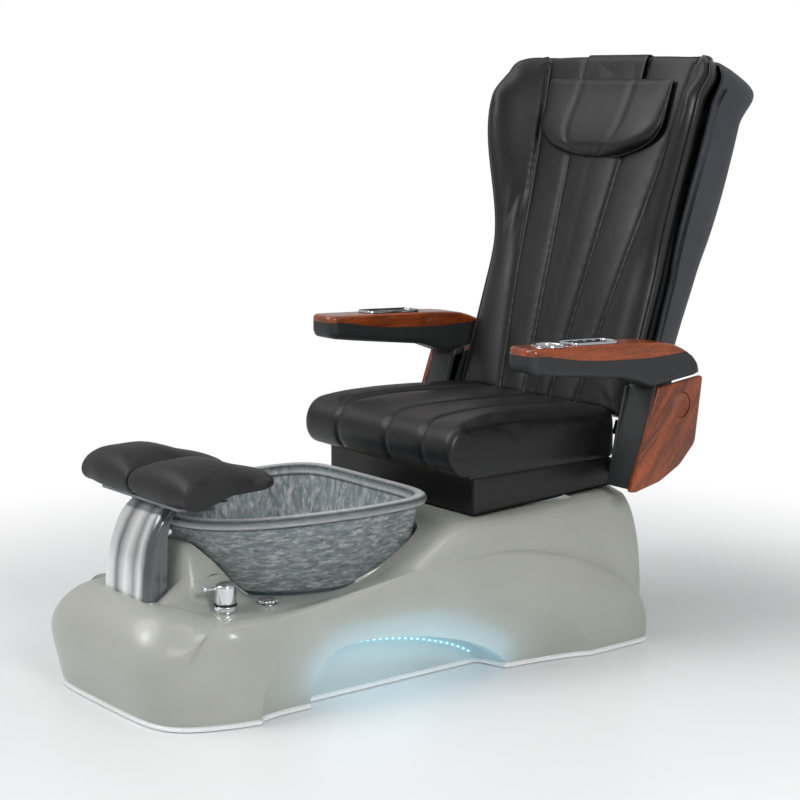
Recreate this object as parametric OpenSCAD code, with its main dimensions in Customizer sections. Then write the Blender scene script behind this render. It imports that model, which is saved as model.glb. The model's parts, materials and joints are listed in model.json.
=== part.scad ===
// Pedicure spa chair: a massage chair on a slide, over a moulded base with a glass foot bowl.
// Lengths are millimetres. While a piece is drawn, y = 0 is the front face of the seat box,
// +y runs to the back of the chair, +x is the sitter's left hand and z = 0 is the floor.
// in_frame() then moves every piece so that y = 0 is the middle of the chair's length.

/* [Base moulding] */
// Reach of the floor edge in front of the seat box
base_front = 757; // [745:1:765]
// Reach of the floor edge behind the seat box's front
base_rear = 445; // [438:1:455]
// Half width of the floor edge at the front
base_front_half = 294; // [288:1:302]
// Half width of the floor edge at the rear
base_rear_half = 358; // [352:1:370]
// Wall thickness of the moulding
base_wall = 6; // [4:0.5:7]
// Height of the undercut skirt round the nose
skirt_h = 104; // [95:1:112]
// Overhang of the skirt's crest past the floor edge at the nose
skirt_overhang = 33; // [20:1:40]
// Height of the deck beside the bowl
deck_h = 206; // [203:1:208]
// Height of the platform at the front of the seat box
platform_h = 331; // [325:1:333]
// Rise of the platform and of the slide to the rear, in degrees
platform_slope = 2.2; // [1.8:0.1:2.4]
// Height of the side fender's crest
fender_h = 265; // [255:1:272]
// Height of the collar round the front of the bowl
collar_h = 330; // [315:1:334]

/* [Light recess] */
// Height of the recess arch
arch_h = 196; // [185:1:200]
// Reach of the arch in front of the seat box
arch_front = 572; // [560:1:585]
// Reach of the arch behind the seat box's front
arch_rear = 258; // [240:1:270]
// Height of the deep pocket inside the arch
pocket_h = 128; // [115:1:135]
// Distance of the pocket's back wall from the middle plane
pocket_x = 236; // [230:1:240]

/* [Trim] */
// Height of the trim band under the moulding
trim_h = 12; // [8:1:14]
// How far the trim stands out of the moulding
trim_out = 3; // [1:0.5:5]

/* [Foot bowl] */
// Height of the bowl's rim above the floor
rim_z = 391; // [385:1:394]
// Half width of the rim
rim_half = 248; // [242:1:252]
// Front end of the rim, in front of the seat box
rim_front = 632; // [626:1:636]
// Rear end of the rim, in front of the seat box
rim_rear = 70; // [66:1:76]
// Width of the rolled rim
rim_roll = 14; // [11:1:17]
// Depth of the rolled rim
rim_drop = 24; // [20:1:28]
// Wall thickness of the glass
glass_wall = 9; // [7:1:10]
// Half width of the bowl's floor
bowl_floor_half = 186; // [180:1:190]
// Half length of the bowl's floor
bowl_floor_long = 180; // [174:1:184]
// Middle of the bowl's floor, in front of the seat box
bowl_floor_mid = 297; // [293:1:301]
// Radius of the drain hole
drain_r = 26; // [22:1:30]

/* [Footrest] */
// Half width of the pedestal at the deck
pedestal_half = 86; // [80:1:92]
// Sheet thickness of the pedestal
pedestal_sheet = 3; // [2:0.5:4]
// Radius of the footrest's hinge pin
foot_pin_r = 4.5; // [3:0.5:5]
// Height of the footrest's hinge pin
foot_pin_z = 394; // [392:1:395]
// Width of one foot pad
pad_w = 202; // [190:1:210]
// Gap between the two foot pads
pad_gap = 6; // [3:1:10]
// Height of the pads' highest line
pad_top = 510; // [504:1:514]

/* [Valves] */
// Radius of the mixer's body
mixer_r = 22; // [18:1:25]
// Height of the mixer's handle drum
mixer_drum_h = 36; // [30:1:42]
// Radius of the diverter's knob
diverter_r = 23; // [18:1:26]
// Radius of the tap's knob
tap_r = 11; // [9:1:12]

/* [Seat] */
// Width of the seat box
seat_box_w = 522; // [510:1:526]
// Depth of the seat box
seat_box_d = 406; // [400:1:410]
// Board thickness of the seat box
board = 14; // [10:1:16]
// Height of the seat box's top edge above the floor
seat_box_top = 416; // [412:1:420]
// Half width of the seat cushion
seat_half = 265; // [258:1:267]
// Height of the seat cushion's top
seat_top = 538; // [530:1:542]
// Reach of the seat cushion past the front of the seat box
seat_nose = 75; // [60:1:78]
// Distance of the side seams from the middle seam
seat_seam = 145; // [130:1:160]

/* [Slide] */
// Distance of each slide rail from the middle plane
rail_x = 150; // [130:1:170]
// Width of a fixed slide rail
rail_w = 36; // [32:1:40]
// Height of a fixed slide rail
rail_h = 18; // [16:1:20]

/* [Backrest] */
// Lean of the backrest, in degrees
back_lean = 17.6; // [16:0.2:19]
// Distance of the recline hinge behind the seat box
hinge_back = 49; // [44:1:54]
// Height of the recline hinge
hinge_z = 470; // [466:1:474]
// Radius of the recline hinge pins
hinge_r = 8; // [6:0.5:9]
// Length of the backrest from its hinge
back_long = 862; // [850:1:870]
// Half width of the backrest at the seat
back_half = 281; // [276:1:283]
// Extra half width of the backrest at the shoulders
shoulder = 64; // [55:1:68]
// How far the shoulder wings stand forward
wing_out = 68; // [55:1:72]
// Depth of the channels sewn in the backrest and the seat
channel = 8; // [4:1:10]

/* [Headrest] */
// Half width of the headrest pillow
pillow_half = 202; // [190:1:206]
// Thickness of the headrest pillow
pillow_thick = 34; // [26:1:38]

/* [Armrests] */
// Inner face of an armrest
arm_in = 308.7; // [306:0.1:312]
// Outer face of an armrest
arm_out = 396.5; // [392:0.1:400]
// Height of an armrest's front top edge
arm_top = 703.7; // [698:0.1:708]
// Thickness of the wood side panel
panel_thick = 12; // [9:1:14]
// Radius of the pivot cap in the side panel
cap_r = 29; // [24:1:32]
// Radius of the arm's pivot pin
arm_pin_r = 9; // [6:0.5:11]

/* [Hidden] */
seat_gap = 0.3;

// ---- small functions ----
function clamp01(t) = min(1, max(0, t));
function lerp(a, b, t) = a + (b - a) * t;
function ramp(t, a, b) = let (s = clamp01((t - a) / (b - a))) s * s * (3 - 2 * s);
function rounding(u, v, n) = pow(pow(abs(u), n) + pow(abs(v), n), -1 / n);
function unit(p) = p / norm(p);
function flat(lists) = [for (l = lists) for (e = l) e];
function middle(ring) = [for (k = [0:2]) [for (p = ring) p[k]] * [for (p = ring) 1] / len(ring)];
function backwards(list) = [for (i = [len(list) - 1:-1:0]) list[i]];

// Closed surface through rings of points. An open loft gets a fan on both end rings. Each four-sided
// patch is parted along its shorter diagonal, so that the two faces of a thin wall never cross.
module loft(rings, closed = false, flip = false) {
    count = len(rings[0]);
    total = len(rings);
    p = flat(rings);
    sides = [for (i = [0:total - (closed ? 1 : 2)]) for (j = [0:count - 1])
        let (a = i * count + j, b = i * count + (j + 1) % count,
             c = ((i + 1) % total) * count + (j + 1) % count, d = ((i + 1) % total) * count + j)
        each norm(p[a] - p[c]) < norm(p[b] - p[d]) + 0.001 ? [[a, b, c], [a, c, d]] : [[a, b, d], [b, c, d]]];
    caps = closed ? [] : [for (j = [0:count - 1])
        let (k = (j + 1) % count, e = (total - 1) * count)
        each [[total * count, k, j], [total * count + 1, e + j, e + k]]];
    ends = closed ? [] : [middle(rings[0]), middle(rings[total - 1])];
    faces = concat(sides, caps);
    polyhedron(concat(p, ends), flip ? [for (f = faces) backwards(f)] : faces, convexity = 8);
}

// ---- placing ----
origin_y = 24;
module in_frame() translate([0, -origin_y, 0]) children();
module mirrored(side) mirror([side < 0 ? 1 : 0, 0, 0]) children();
module both_sides() for (m = [0, 1]) mirror([m, 0, 0]) children();
module on_slope() translate([0, 0, platform_h]) rotate([platform_slope, 0, 0]) children();
module on_back() translate([0, hinge_y, hinge_z]) rotate([-back_lean, 0, 0]) children();
// Extrudes a (y, z) outline along x
module across(x0, x1) translate([x0, 0, 0]) rotate([90, 0, 90]) linear_extrude(x1 - x0) children();
module rounded(w, d, r, facets = 24) {
    square([w - 2 * r, d], center = true);
    square([w, d - 2 * r], center = true);
    for (x = [-1, 1], y = [-1, 1]) translate([x * (w / 2 - r), y * (d / 2 - r)]) circle(r, $fn = facets);
}
module bar(x0, x1, y0, y1, z0, z1) translate([x0, y0, z0]) cube([x1 - x0, y1 - y0, z1 - z0]);
module rod_x(x0, x1, r, facets = 32) translate([x0, 0, 0]) rotate([0, 90, 0]) cylinder(h = x1 - x0, r = r, $fn = facets);

// What stands behind the seat box keeps its distance from it
hinge_y = seat_box_d + hinge_back;
arm_y = seat_box_d + 77;

// ---- base moulding ----
ring_side = 26;
ring_end = 16;
function side_step(i) = -1 + 2 * pow(i / ring_side, 1.35);
square_walk = concat(
    [for (i = [0:ring_end - 1]) [-1 + 2 * i / ring_end, -1]],
    [for (i = [0:ring_side - 1]) [1, side_step(i)]],
    [for (i = [0:ring_end - 1]) [1 - 2 * i / ring_end, 1]],
    [for (i = [0:ring_side - 1]) [-1, side_step(ring_side - i)]]);

base_mid = (base_rear - base_front) / 2;
crest_front_half = base_front_half - 47;
crest_rear_half = base_rear_half - 37;
function outline(u, v, front, rear, n_front, n_rear) =
    let (s = rounding(u, v, v < 0 ? n_front : n_rear))
    [u * s, base_mid + v * s * (v < 0 ? base_mid + front : rear - base_mid)];
function foot_point(u, v) =
    let (p = outline(u, v, base_front, base_rear, 5.5, 36))
    [p[0] * lerp(base_front_half, base_rear_half, clamp01((p[1] + 650) / 893)), p[1], 0];
function crest_z(y) = lerp(skirt_h, deck_h, ramp(y, -745, -630))
    + (fender_h - deck_h) * ramp(y, -540, -130)
    - fender_h * (1 - sqrt(1 - pow(clamp01(y / (base_rear + 19)), 1.9)));
function crest_point(u, v) =
    let (p = outline(u, v, base_front + skirt_overhang, base_rear, 7, 36),
         half = lerp(crest_front_half, crest_rear_half, ramp(p[1], -600, -180)) + 10 * ramp(p[1], 300, 430))
    [p[0] * half, p[1], crest_z(p[1])];

// Height of the light recess and of its deep pocket at a place along the side
arch_mid = -260;
function arch_z(y) = arch_h * (y < arch_mid
    ? pow(1 - pow(clamp01((arch_mid - y) / (arch_front + arch_mid)), 2.7), 1 / 2.7)
    : sqrt(1 - pow(clamp01((y - arch_mid) / (arch_rear - arch_mid)), 2)));
pocket_front = 440;
pocket_rear = 50;
pocket_mid = -330;
function pocket_z(y) = pocket_h * (y < pocket_mid
    ? pow(1 - pow(clamp01((pocket_mid - y) / (pocket_front + pocket_mid)), 2.7), 1 / 2.7)
    : pow(1 - pow(clamp01((y - pocket_mid) / (pocket_rear - pocket_mid)), 1.7), 1 / 1.7));
function fender_point(f, c, z) =
    let (t = clamp01((z / c[2] - 0.35) / 0.65), side = ramp(f[1], -700, -600),
         s = lerp(z / c[2], 1 - pow(1 - pow(t, 2.5), 0.4), side))
    [lerp(f[0], c[0], s), lerp(f[1], c[1], s), z];
cove_slope = 0.24;
function cove(p, za) = [p[0] - sign(p[0]) * cove_slope * max(0, za - p[2]), p[1], p[2]];
// The deep pocket is pressed in only along its own stretch of the side
function pocket(p, za, y) =
    let (c = cove(p, za), a = abs(c[0]), depth = max(0, a - pocket_x) * ramp(pocket_z(y), 4, 40))
    [sign(c[0]) * (a - depth), c[1], c[2]];

// Deck height over the plan: slope up to the platform, raised nose and the bowl's collar
function deck_z(x, y) = deck_h
    + (platform_h + max(-40, y) * tan(platform_slope) - deck_h) * ramp(y, -345, -40)
    + 20 * ramp(-y, 612, 690)
    + (collar_h - deck_h) * ramp(y, -655, -608) * ramp(-y, 470, 560) * ramp(-abs(x), -150, -62);
function top_edge(u, v) =
    let (p = outline(u, v, base_front - 45, base_rear - 36, 5, 16),
         w = lerp(lerp(192, 218, ramp(p[1], -700, -600)), 263, ramp(p[1], -340, -90)) + 14 * ramp(p[1], 250, 400),
         x = p[0] * w)
    [x, p[1], deck_z(x, p[1])];

// ---- bowl outlines ----
bowl_gap = 6.5;
bowl_floor_z = deck_h - 1;
bowl_lip_z = rim_z - rim_drop;
rim_mid = -(rim_front + rim_rear) / 2;
rim_long = (rim_front - rim_rear) / 2;
function bowl_point(u, v, t, grow = 0) =
    let (n = v < 0 ? lerp(2.8, 3, t) : lerp(7, 6, t), s = rounding(u, v, n),
         e = lerp(0.16 * (1 - pow(1 - clamp01(t / 0.16), 2)), 1, t),
         long = lerp(bowl_floor_long, rim_long - rim_roll, e) + grow,
         wide = lerp(bowl_floor_half, rim_half - rim_roll, e) + grow,
         mid = lerp(-bowl_floor_mid, rim_mid, e),
         taper = 1 - 0.19 * clamp01((0.2 - v * s) / 1.2) * 1.0)
    [u * s * wide * taper, mid + v * s * long];
function bowl_z(t) = lerp(bowl_floor_z, bowl_lip_z, t);
// Place where the gap round the bowl comes out of the deck, found by halving
function well_rim(u, v, low, high, steps) =
    let (t = (low + high) / 2, p = bowl_point(u, v, t, bowl_gap), z = deck_z(p[0], p[1]))
    steps == 0 ? [p[0], p[1], z]
    : z > bowl_z(t) ? well_rim(u, v, t, high, steps - 1) : well_rim(u, v, low, t, steps - 1);

function between(a, b, t) =
    let (x = lerp(a[0], b[0], t), y = lerp(a[1], b[1], t)) [x, y, deck_z(x, y)];
function base_column(u, v) =
    let (f = foot_point(u, v), c = crest_point(u, v),
         za = min(max(trim_h + 9, arch_z(f[1])), c[2] - 9), zp = max(trim_h + 5, pocket_z(f[1])),
         p = function (z) fender_point(f, c, z),
         top = top_edge(u, v), rim = well_rim(u, v, 0, 1, 9), edge = bowl_point(u, v, 0, bowl_gap),
         rise = clamp01((rim[2] - bowl_floor_z) / (bowl_lip_z - bowl_floor_z)),
         mid_t = min(0.22, 0.65 * rise), low_t = min(0.08, 0.3 * rise),
         mid = bowl_point(u, v, mid_t, bowl_gap), low = bowl_point(u, v, low_t, bowl_gap),
         hole = rounding(u, v, 4))
    concat(
        [pocket(p(trim_h), za, f[1]), pocket(p(lerp(trim_h, zp, 0.5)), za, f[1]), pocket(p(zp), za, f[1]),
         cove(p(zp + 2), za), cove(p(lerp(zp, za, 0.6)), za), p(za),
         p(lerp(za, c[2], 0.4)), p(lerp(za, c[2], 0.8)), c],
        // The shoulder rises steeply and then levels out; where the deck is lower it rolls over and falls
        [for (t = [0.12, 0.4, 0.68, 0.88])
            let (climb = ramp(top[2] - c[2], -6, 34), h = lerp(ramp(t, 0, 1), t, climb),
                 s = lerp(t, 1 - pow(1 - pow(t, 2.4), 1 / 2.4), climb),
                 bulge = 8 * sin(180 * t) * ramp(-c[1], 600, 760))
            [lerp(c[0], top[0], s) + bulge * u, lerp(c[1], top[1], s) + bulge * v, lerp(c[2], top[2], h)]],
        [top, between(top, rim, 0.3), between(top, rim, 0.6), between(top, rim, 0.85), rim,
         [mid[0], mid[1], bowl_z(mid_t)], [low[0], low[1], bowl_z(low_t)],
         [edge[0], edge[1], bowl_floor_z - 3],
         [u * hole * 80, -bowl_floor_mid + v * hole * 100, bowl_floor_z - 3]]);
base_columns = [for (w = square_walk) base_column(w[0], w[1])];
base_rows = [for (k = [0:len(base_columns[0]) - 1]) [for (c = base_columns) c[k]]];
row_count = len(base_rows);
ring_count = len(base_rows[0]);
function normal_at(i, j) = unit(cross(
    base_rows[i][(j + 1) % ring_count] - base_rows[i][(j + ring_count - 1) % ring_count],
    base_rows[min(i + 1, row_count - 1)][j] - base_rows[max(i - 1, 0)][j]));
// Where the well is shallow its inner face lies straight below it
rim_row = 17;
function inner_point(i, j) =
    let (p = base_rows[i][j], deep = ramp(base_rows[rim_row][j][2] - bowl_floor_z, 4, 24),
         n = i < rim_row ? normal_at(i, j) : unit(lerp([0, 0, 1], normal_at(i, j), deep)), q = p - base_wall * n)
    i == 0 ? [q[0], q[1], p[2]] : q;
inner_rows = [21, 20, 19, 18, 17, 16, 15, 14, 13, 12, 11, 10, 8, 6, 5, 4, 3, 2, 0];
base_inner = [for (i = inner_rows) [for (j = [0:ring_count - 1]) inner_point(i, j)]];

module base_shell() in_frame() color("#b2b3aa") loft(concat(base_rows, base_inner), closed = true, flip = true);

module base_trim() in_frame() color("#e4e6e6") {
    foot = base_rows[0];
    n = ring_count;
    out = [for (j = [0:n - 1])
        let (a = foot[(j + 1) % n] - foot[(j + n - 1) % n]) unit([a[1], -a[0], 0])];
    band = function (grow, z) [for (j = [0:n - 1]) [foot[j][0], foot[j][1], z] + grow * out[j]];
    loft([band(trim_out, 0), band(trim_out, trim_h - seat_gap), band(-base_wall, trim_h - seat_gap),
          band(-base_wall, 0)], closed = true, flip = true);
}

// ---- foot bowl and its plumbing ----
module at_drain() translate([0, -bowl_floor_mid, 0]) children();
module foot_bowl() in_frame() color("#8fa0a3") {
    walk = [for (i = [0:2:len(square_walk) - 1]) square_walk[i]];
    ring = function (t, grow, z) [for (w = walk)
        let (p = bowl_point(w[0], w[1], t, grow)) [p[0], p[1], z]];
    hole = function (z) [for (w = walk)
        let (s = rounding(w[0], w[1], 2)) [w[0] * s * drain_r, -bowl_floor_mid + w[1] * s * drain_r, z]];
    loft([hole(bowl_floor_z), ring(0, -14, bowl_floor_z), ring(0, -3, bowl_floor_z + 5),
          ring(0.08, -2.2, bowl_z(0.08)), ring(0.2, -2.2, bowl_z(0.2)), ring(0.55, 0, bowl_z(0.55)),
          ring(0.97, 0, bowl_z(0.97)), ring(1, rim_roll - 4, bowl_lip_z),
          ring(1, rim_roll, bowl_lip_z + rim_drop / 2), ring(1, rim_roll - 3, rim_z - 2),
          ring(1, rim_roll / 2 - glass_wall / 2, rim_z), ring(1, -glass_wall, rim_z - 4),
          ring(0.97, -glass_wall, bowl_z(0.97)), ring(0.55, -glass_wall, bowl_z(0.55)),
          ring(0.2, -glass_wall, bowl_z(0.2)), ring(0.1, -glass_wall, bowl_z(0.12)),
          ring(0, -26, bowl_floor_z + glass_wall), hole(bowl_floor_z + glass_wall)],
         closed = true, flip = true);
}
module bowl_gasket() in_frame() color("#2a2b2c") at_drain() translate([0, 0, bowl_floor_z - 2.7])
    difference() {
        cylinder(h = 2.4, r = 128, $fn = 64);
        translate([0, 0, -1]) cylinder(h = 5, r = 112, $fn = 64);
    }
pipe_r = 17;
module drain_flange() in_frame() color("#d5d8da") at_drain() {
    top = bowl_floor_z + glass_wall + seat_gap;
    difference() {
        union() {
            translate([0, 0, top]) cylinder(h = 3, r = drain_r + 10, $fn = 40);
            translate([0, 0, 168]) cylinder(h = top - 167, r = drain_r - 1, $fn = 40);
        }
        translate([0, 0, 160]) cylinder(h = top - 161, r = drain_r - 4, $fn = 40);
        for (a = [0:60:300]) rotate(a) translate([11, 0, top - 10]) cylinder(h = 20, r = 3.5, $fn = 16);
    }
}
module drain_nut() in_frame() color("#e4e6e6") at_drain() difference() {
    translate([0, 0, 184]) cylinder(h = bowl_floor_z - seat_gap - 184, r = drain_r + 14, $fn = 6);
    translate([0, 0, 180]) cylinder(h = 40, r = drain_r - 0.7, $fn = 40);
}
module drain_pipe() in_frame() color("#e4e6e6") at_drain() {
    difference() {
        translate([0, 0, 120]) cylinder(h = 60, r = drain_r - 4.3, $fn = 32);
        translate([0, 0, 110]) cylinder(h = 90, r = drain_r - 7, $fn = 32);
    }
    translate([0, 40, 120]) rotate([90, 0, 90]) rotate([0, 0, 180]) rotate_extrude(angle = 90, $fn = 32)
        translate([40, 0]) difference() { circle(drain_r - 4.3, $fn = 32); circle(drain_r - 7, $fn = 32); }
    translate([0, 40, 80]) rotate([-90, 0, 0]) difference() {
        cylinder(h = 29.7, r = drain_r - 4.3, $fn = 32);
        translate([0, 0, -1]) cylinder(h = 40, r = drain_r - 7, $fn = 32);
    }
}
pump_y = 70 - bowl_floor_mid;
module drain_pump() in_frame() color("#3c4043") translate([0, pump_y, 80]) {
    rotate([-90, 0, 0]) cylinder(h = 40, r = 42, $fn = 40);
    translate([0, 40, 0]) rotate([-90, 0, 0]) cylinder(h = 100, r = 34, $fn = 40);
    translate([0, 140, 0]) rotate([-90, 0, 0]) cylinder(h = 12, r = 30, $fn = 40);
    bar(-30, 30, 50, 130, -45.7, -30);
    translate([0, 20, 0]) rotate([0, 90, 0]) cylinder(h = 70, r = 12, $fn = 24);
}

// ---- frame inside the moulding ----
frame_z = 24;
frame_top = 34;
function platform_z(y) = platform_h + y * tan(platform_slope);
module base_frame() in_frame() color("#4b4f52") {
    for (x = [-165, 135]) bar(x, x + 30, -560, 380, frame_z - 20, frame_top);
    for (y = [-540, -200, 120, 340]) bar(-135, 135, y, y + 30, frame_z - 20, frame_top);
    for (x = [-160, 140], y = [60, 320]) bar(x, x + 20, y, y + 20, frame_top, platform_z(y) - base_wall - 2.9);
    for (x = [-160, 140], y = [-400, -220]) bar(x, x + 20, y, y + 20, frame_top, bowl_floor_z - 9.6);
}
module levelling_feet() in_frame() color("#2a2b2c")
    for (x = [-200, 200], y = [-500, 330]) translate([x, y, 0]) {
        cylinder(h = 10, r = 20, $fn = 32);
        cylinder(h = 60, r = 5, $fn = 24);
        bar(x < 0 ? 20 : -34.7, x < 0 ? 34.7 : -20, -12, 12, 12, 30);
        bar(-20, 20, -12, 12, 12, 30);
    }
module control_box() in_frame() color("#56595b") translate([0, 215, frame_top + seat_gap]) {
    bar(-120, 120, -95, 95, 0, 90);
    bar(-126, 126, -70, 70, 0, 4);
    for (x = [-80:40:80]) translate([x, -95, 40]) rotate([90, 0, 0]) cylinder(h = 10, r = 9, $fn = 20);
}
module water_manifold() in_frame() color("#b08d57") translate([0, -525, 60]) {
    bar(-90, 90, -22, 22, -20, 20);
    bar(-60, 60, -14, 14, -25.7, -20);
    for (x = [-60, -20, 20, 60]) translate([x, -22, 0]) rotate([90, 0, 0]) cylinder(h = 22, r = 9, $fn = 20);
}
module supply_pipes() in_frame() color("#b87345") {
    for (s = [[mixer_x, mixer_y, 40], [diverter_x, diverter_y, -2]]) {
        translate([s[0], s[1], 60]) cylinder(h = deck_h - base_wall - 0.8 - 60, r = 8, $fn = 24);
        translate([90.3, s[1], 60]) rod_x(0, s[0] - 90.3, 8, 24);
    }
    translate([98.3, diverter_y, 60]) rotate([90, 0, 0]) cylinder(h = diverter_y - mixer_y, r = 8, $fn = 24);
}

// ---- light strips ----
module light_strip(side) in_frame() color("#e9f7fb") mirrored(side)
    translate([pocket_x + 0.6, 0, 0]) for (i = [0:19]) {
        y = -415 + i * 19;
        y2 = y + 19;
        across(0, 3) polygon([[y, pocket_z(y) - 15], [y2, pocket_z(y2) - 15],
            [y2, pocket_z(y2) - 8], [y, pocket_z(y) - 8]]);
        translate([0, (y + y2) / 2, (pocket_z(y) + pocket_z(y2)) / 2 - 11.5]) rod_x(1, 6, 3, 12);
    }
module light_strip_left() light_strip(1);
module light_strip_right() light_strip(-1);

// ---- footrest ----
ped_front = 705;
ped_back = 638;
ped_low = 227;
ped_top = 411.5;
foot_pin_y = -644;
lug_x = 56;
module pedestal() in_frame() color("#c9ccce") difference() {
    across(-pedestal_half, pedestal_half) polygon(concat(
        [for (t = [0:0.1:1]) [-ped_back - (ped_front - ped_back) * pow(1 - pow(t, 2.2), 0.667),
            lerp(ped_low, ped_top, t)]],
        [[-610, ped_top], [-608, 404], [-622, 398], [-641, 384], [-650, 360], [-653, 306], [-673, ped_low]]));
    // Sides drawn in towards the top
    both_sides() translate([pedestal_half, -740, ped_low]) rotate([0, -4.4, 0]) cube([60, 160, 240]);
    // Hollow behind the front sheet, open at the foot
    across(-pedestal_half + 20, pedestal_half - 20) polygon([[-656, 200], [-700, 200], [-699, 300],
        [-690, 340], [-676, 370], [-658, 390], [-645, 401], [-634, 400], [-640, 384], [-646, 360], [-649, 306]]);
    translate([0, foot_pin_y, foot_pin_z]) rod_x(-71, 71, foot_pin_r + 0.05);
    // Slots for the bracket's lugs
    both_sides() bar(lug_x - 8, lug_x + 8, foot_pin_y - 10, -600, foot_pin_z - 10, 430);
}
module footrest_pin() in_frame() color("#d5d8da") translate([0, foot_pin_y, foot_pin_z])
    rod_x(-70, 70, foot_pin_r);
module footrest_bracket() in_frame() color("#8c9093") difference() {
    union() {
        bar(-150, 150, -668, -548, 417.9, 423.9);
        both_sides() across(lug_x - 6, lug_x + 6) {
            translate([foot_pin_y, foot_pin_z]) circle(8, $fn = 32);
            polygon([[foot_pin_y - 8, foot_pin_z], [foot_pin_y + 8, foot_pin_z], [-612, 418], [-646, 418]]);
        }
        both_sides() bar(96, 100, -604, -552, 397, 418);
    }
    translate([0, foot_pin_y, foot_pin_z]) rod_x(-90, 90, foot_pin_r + 0.05);
}
// Height of a pad's top and underside over the plan, x counted from its inner edge
function pad_crest(y) = pad_top - 2 - 14 * ramp(-y, 655, 702) - 30 * ramp(y, -590, -480) - 24 * ramp(y, -490, -412);
function pad_under(y) = 424 + 26 * ramp(y, -660, -560) - 14 * ramp(y, -470, -412);
module footrest_pad(side) in_frame() color("#4a4b4c") mirrored(side) {
    stations = [0, 0.02, 0.07, 0.18, 0.36, 0.55, 0.75, 0.9, 0.97, 1];
    ring_of = function (k)
        let (e = sin(180 * k), swell = pow(max(0, sin(180 * clamp01(k))), 0.34),
             x = pad_gap / 2 + pad_w * k, outer = ramp(k, 0.55, 1),
             tail = -412 - 52 * pow(abs(2 * k - 1), 3), nose = -702 + 10 * outer,
             low = function (y) lerp(lerp(444, 424, swell) , pad_under(y), max(swell, outer * 0.9)),
             valley = 30 * (1 - ramp(k, 0, 0.3)),
             top = function (y) max(low(y) + 10 + 14 * swell, pad_crest(y) - valley * ramp(y, -690, -640) * (1 - ramp(y, -560, -460))
                 - 22 * (1 - swell) - 10 * outer * outer))
        concat(
            [for (i = [0:9]) let (y = lerp(nose + 22, tail - 14, i / 9)) [x, y, low(y)]],
            [[x, tail - 3, lerp(low(tail), top(tail), 0.25)], [x, tail, lerp(low(tail), top(tail), 0.6)]],
            [for (i = [0:11]) let (y = lerp(tail - 10, nose + 16, i / 11)) [x, y, top(y)]],
            [[x, nose + 3, lerp(low(nose), top(nose + 16), 0.72)], [x, nose, lerp(low(nose), top(nose + 16), 0.45)],
             [x, nose + 7, lerp(low(nose), top(nose + 16), 0.16)]]);
    loft([for (k = stations) ring_of(k)], flip = true);
}
module footrest_pad_left() footrest_pad(1);
module footrest_pad_right() footrest_pad(-1);

// ---- valves ----
mixer_x = 173;
mixer_y = -577;
diverter_x = 176;
diverter_y = -477;
valve_z = deck_h + 0.4;
mixer_z = deck_h + 4.1;
module lobed(r, h, lobes, facets = 16) {
    cylinder(h = h, r = r * 0.78, $fn = 32);
    for (i = [0:lobes - 1]) rotate(i * 360 / lobes) translate([r * 0.7, 0, 0]) cylinder(h = h, r = r * 0.3, $fn = facets);
}
module mixer_body() in_frame() color("#d5d8da") translate([mixer_x, mixer_y, mixer_z]) {
    cylinder(h = 10, r = mixer_r + 2, $fn = 48);
    translate([0, 0, 10]) cylinder(h = 4, r = mixer_r, $fn = 48);
    translate([0, 0, 14]) cylinder(h = 12, r = 8, $fn = 32);
}
module mixer_handle() in_frame() color("#d5d8da") translate([mixer_x, mixer_y, mixer_z + 14.4]) difference() {
    union() {
        cylinder(h = mixer_drum_h, r = mixer_r, $fn = 48);
        translate([0, 0, mixer_drum_h]) cylinder(h = 5, r1 = mixer_r, r2 = mixer_r - 5, $fn = 48);
        translate([0, 0, mixer_drum_h - 8]) rotate([90, 0, -12]) cylinder(h = mixer_r + 21, r = 4, $fn = 20);
    }
    translate([0, 0, -1]) cylinder(h = 15, r = 8.05, $fn = 32);
}
module diverter_body() in_frame() color("#d5d8da") translate([diverter_x, diverter_y, valve_z]) {
    cylinder(h = 2, r = diverter_r - 1, $fn = 48);
    cylinder(h = 7, r = 5, $fn = 24);
}
module diverter_knob() in_frame() color("#d5d8da") translate([diverter_x, diverter_y, valve_z + 2.4]) difference() {
    lobed(diverter_r, 7.5, 8);
    translate([0, 0, -1]) cylinder(h = 6, r = 5.05, $fn = 24);
}
tap_x = 28;
tap_y = -621;
tap_z = 352;
module tap_body() in_frame() color("#d5d8da") {
    translate([tap_x - 14, tap_y, collar_h - 3]) cylinder(h = tap_z - collar_h + 8, r = 5.5, $fn = 8);
    translate([0, tap_y, tap_z]) rod_x(tap_x - 14, tap_x, 5.5, 8);
    translate([0, tap_y, tap_z]) rod_x(tap_x, tap_x + 8, 3, 20);
}
module tap_knob() in_frame() color("#d5d8da") translate([tap_x + 0.4, tap_y, tap_z]) rotate([0, 90, 0]) difference() {
    lobed(tap_r, 12, 6);
    translate([0, 0, -1]) cylinder(h = 9.5, r = 3.05, $fn = 20);
}

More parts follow.
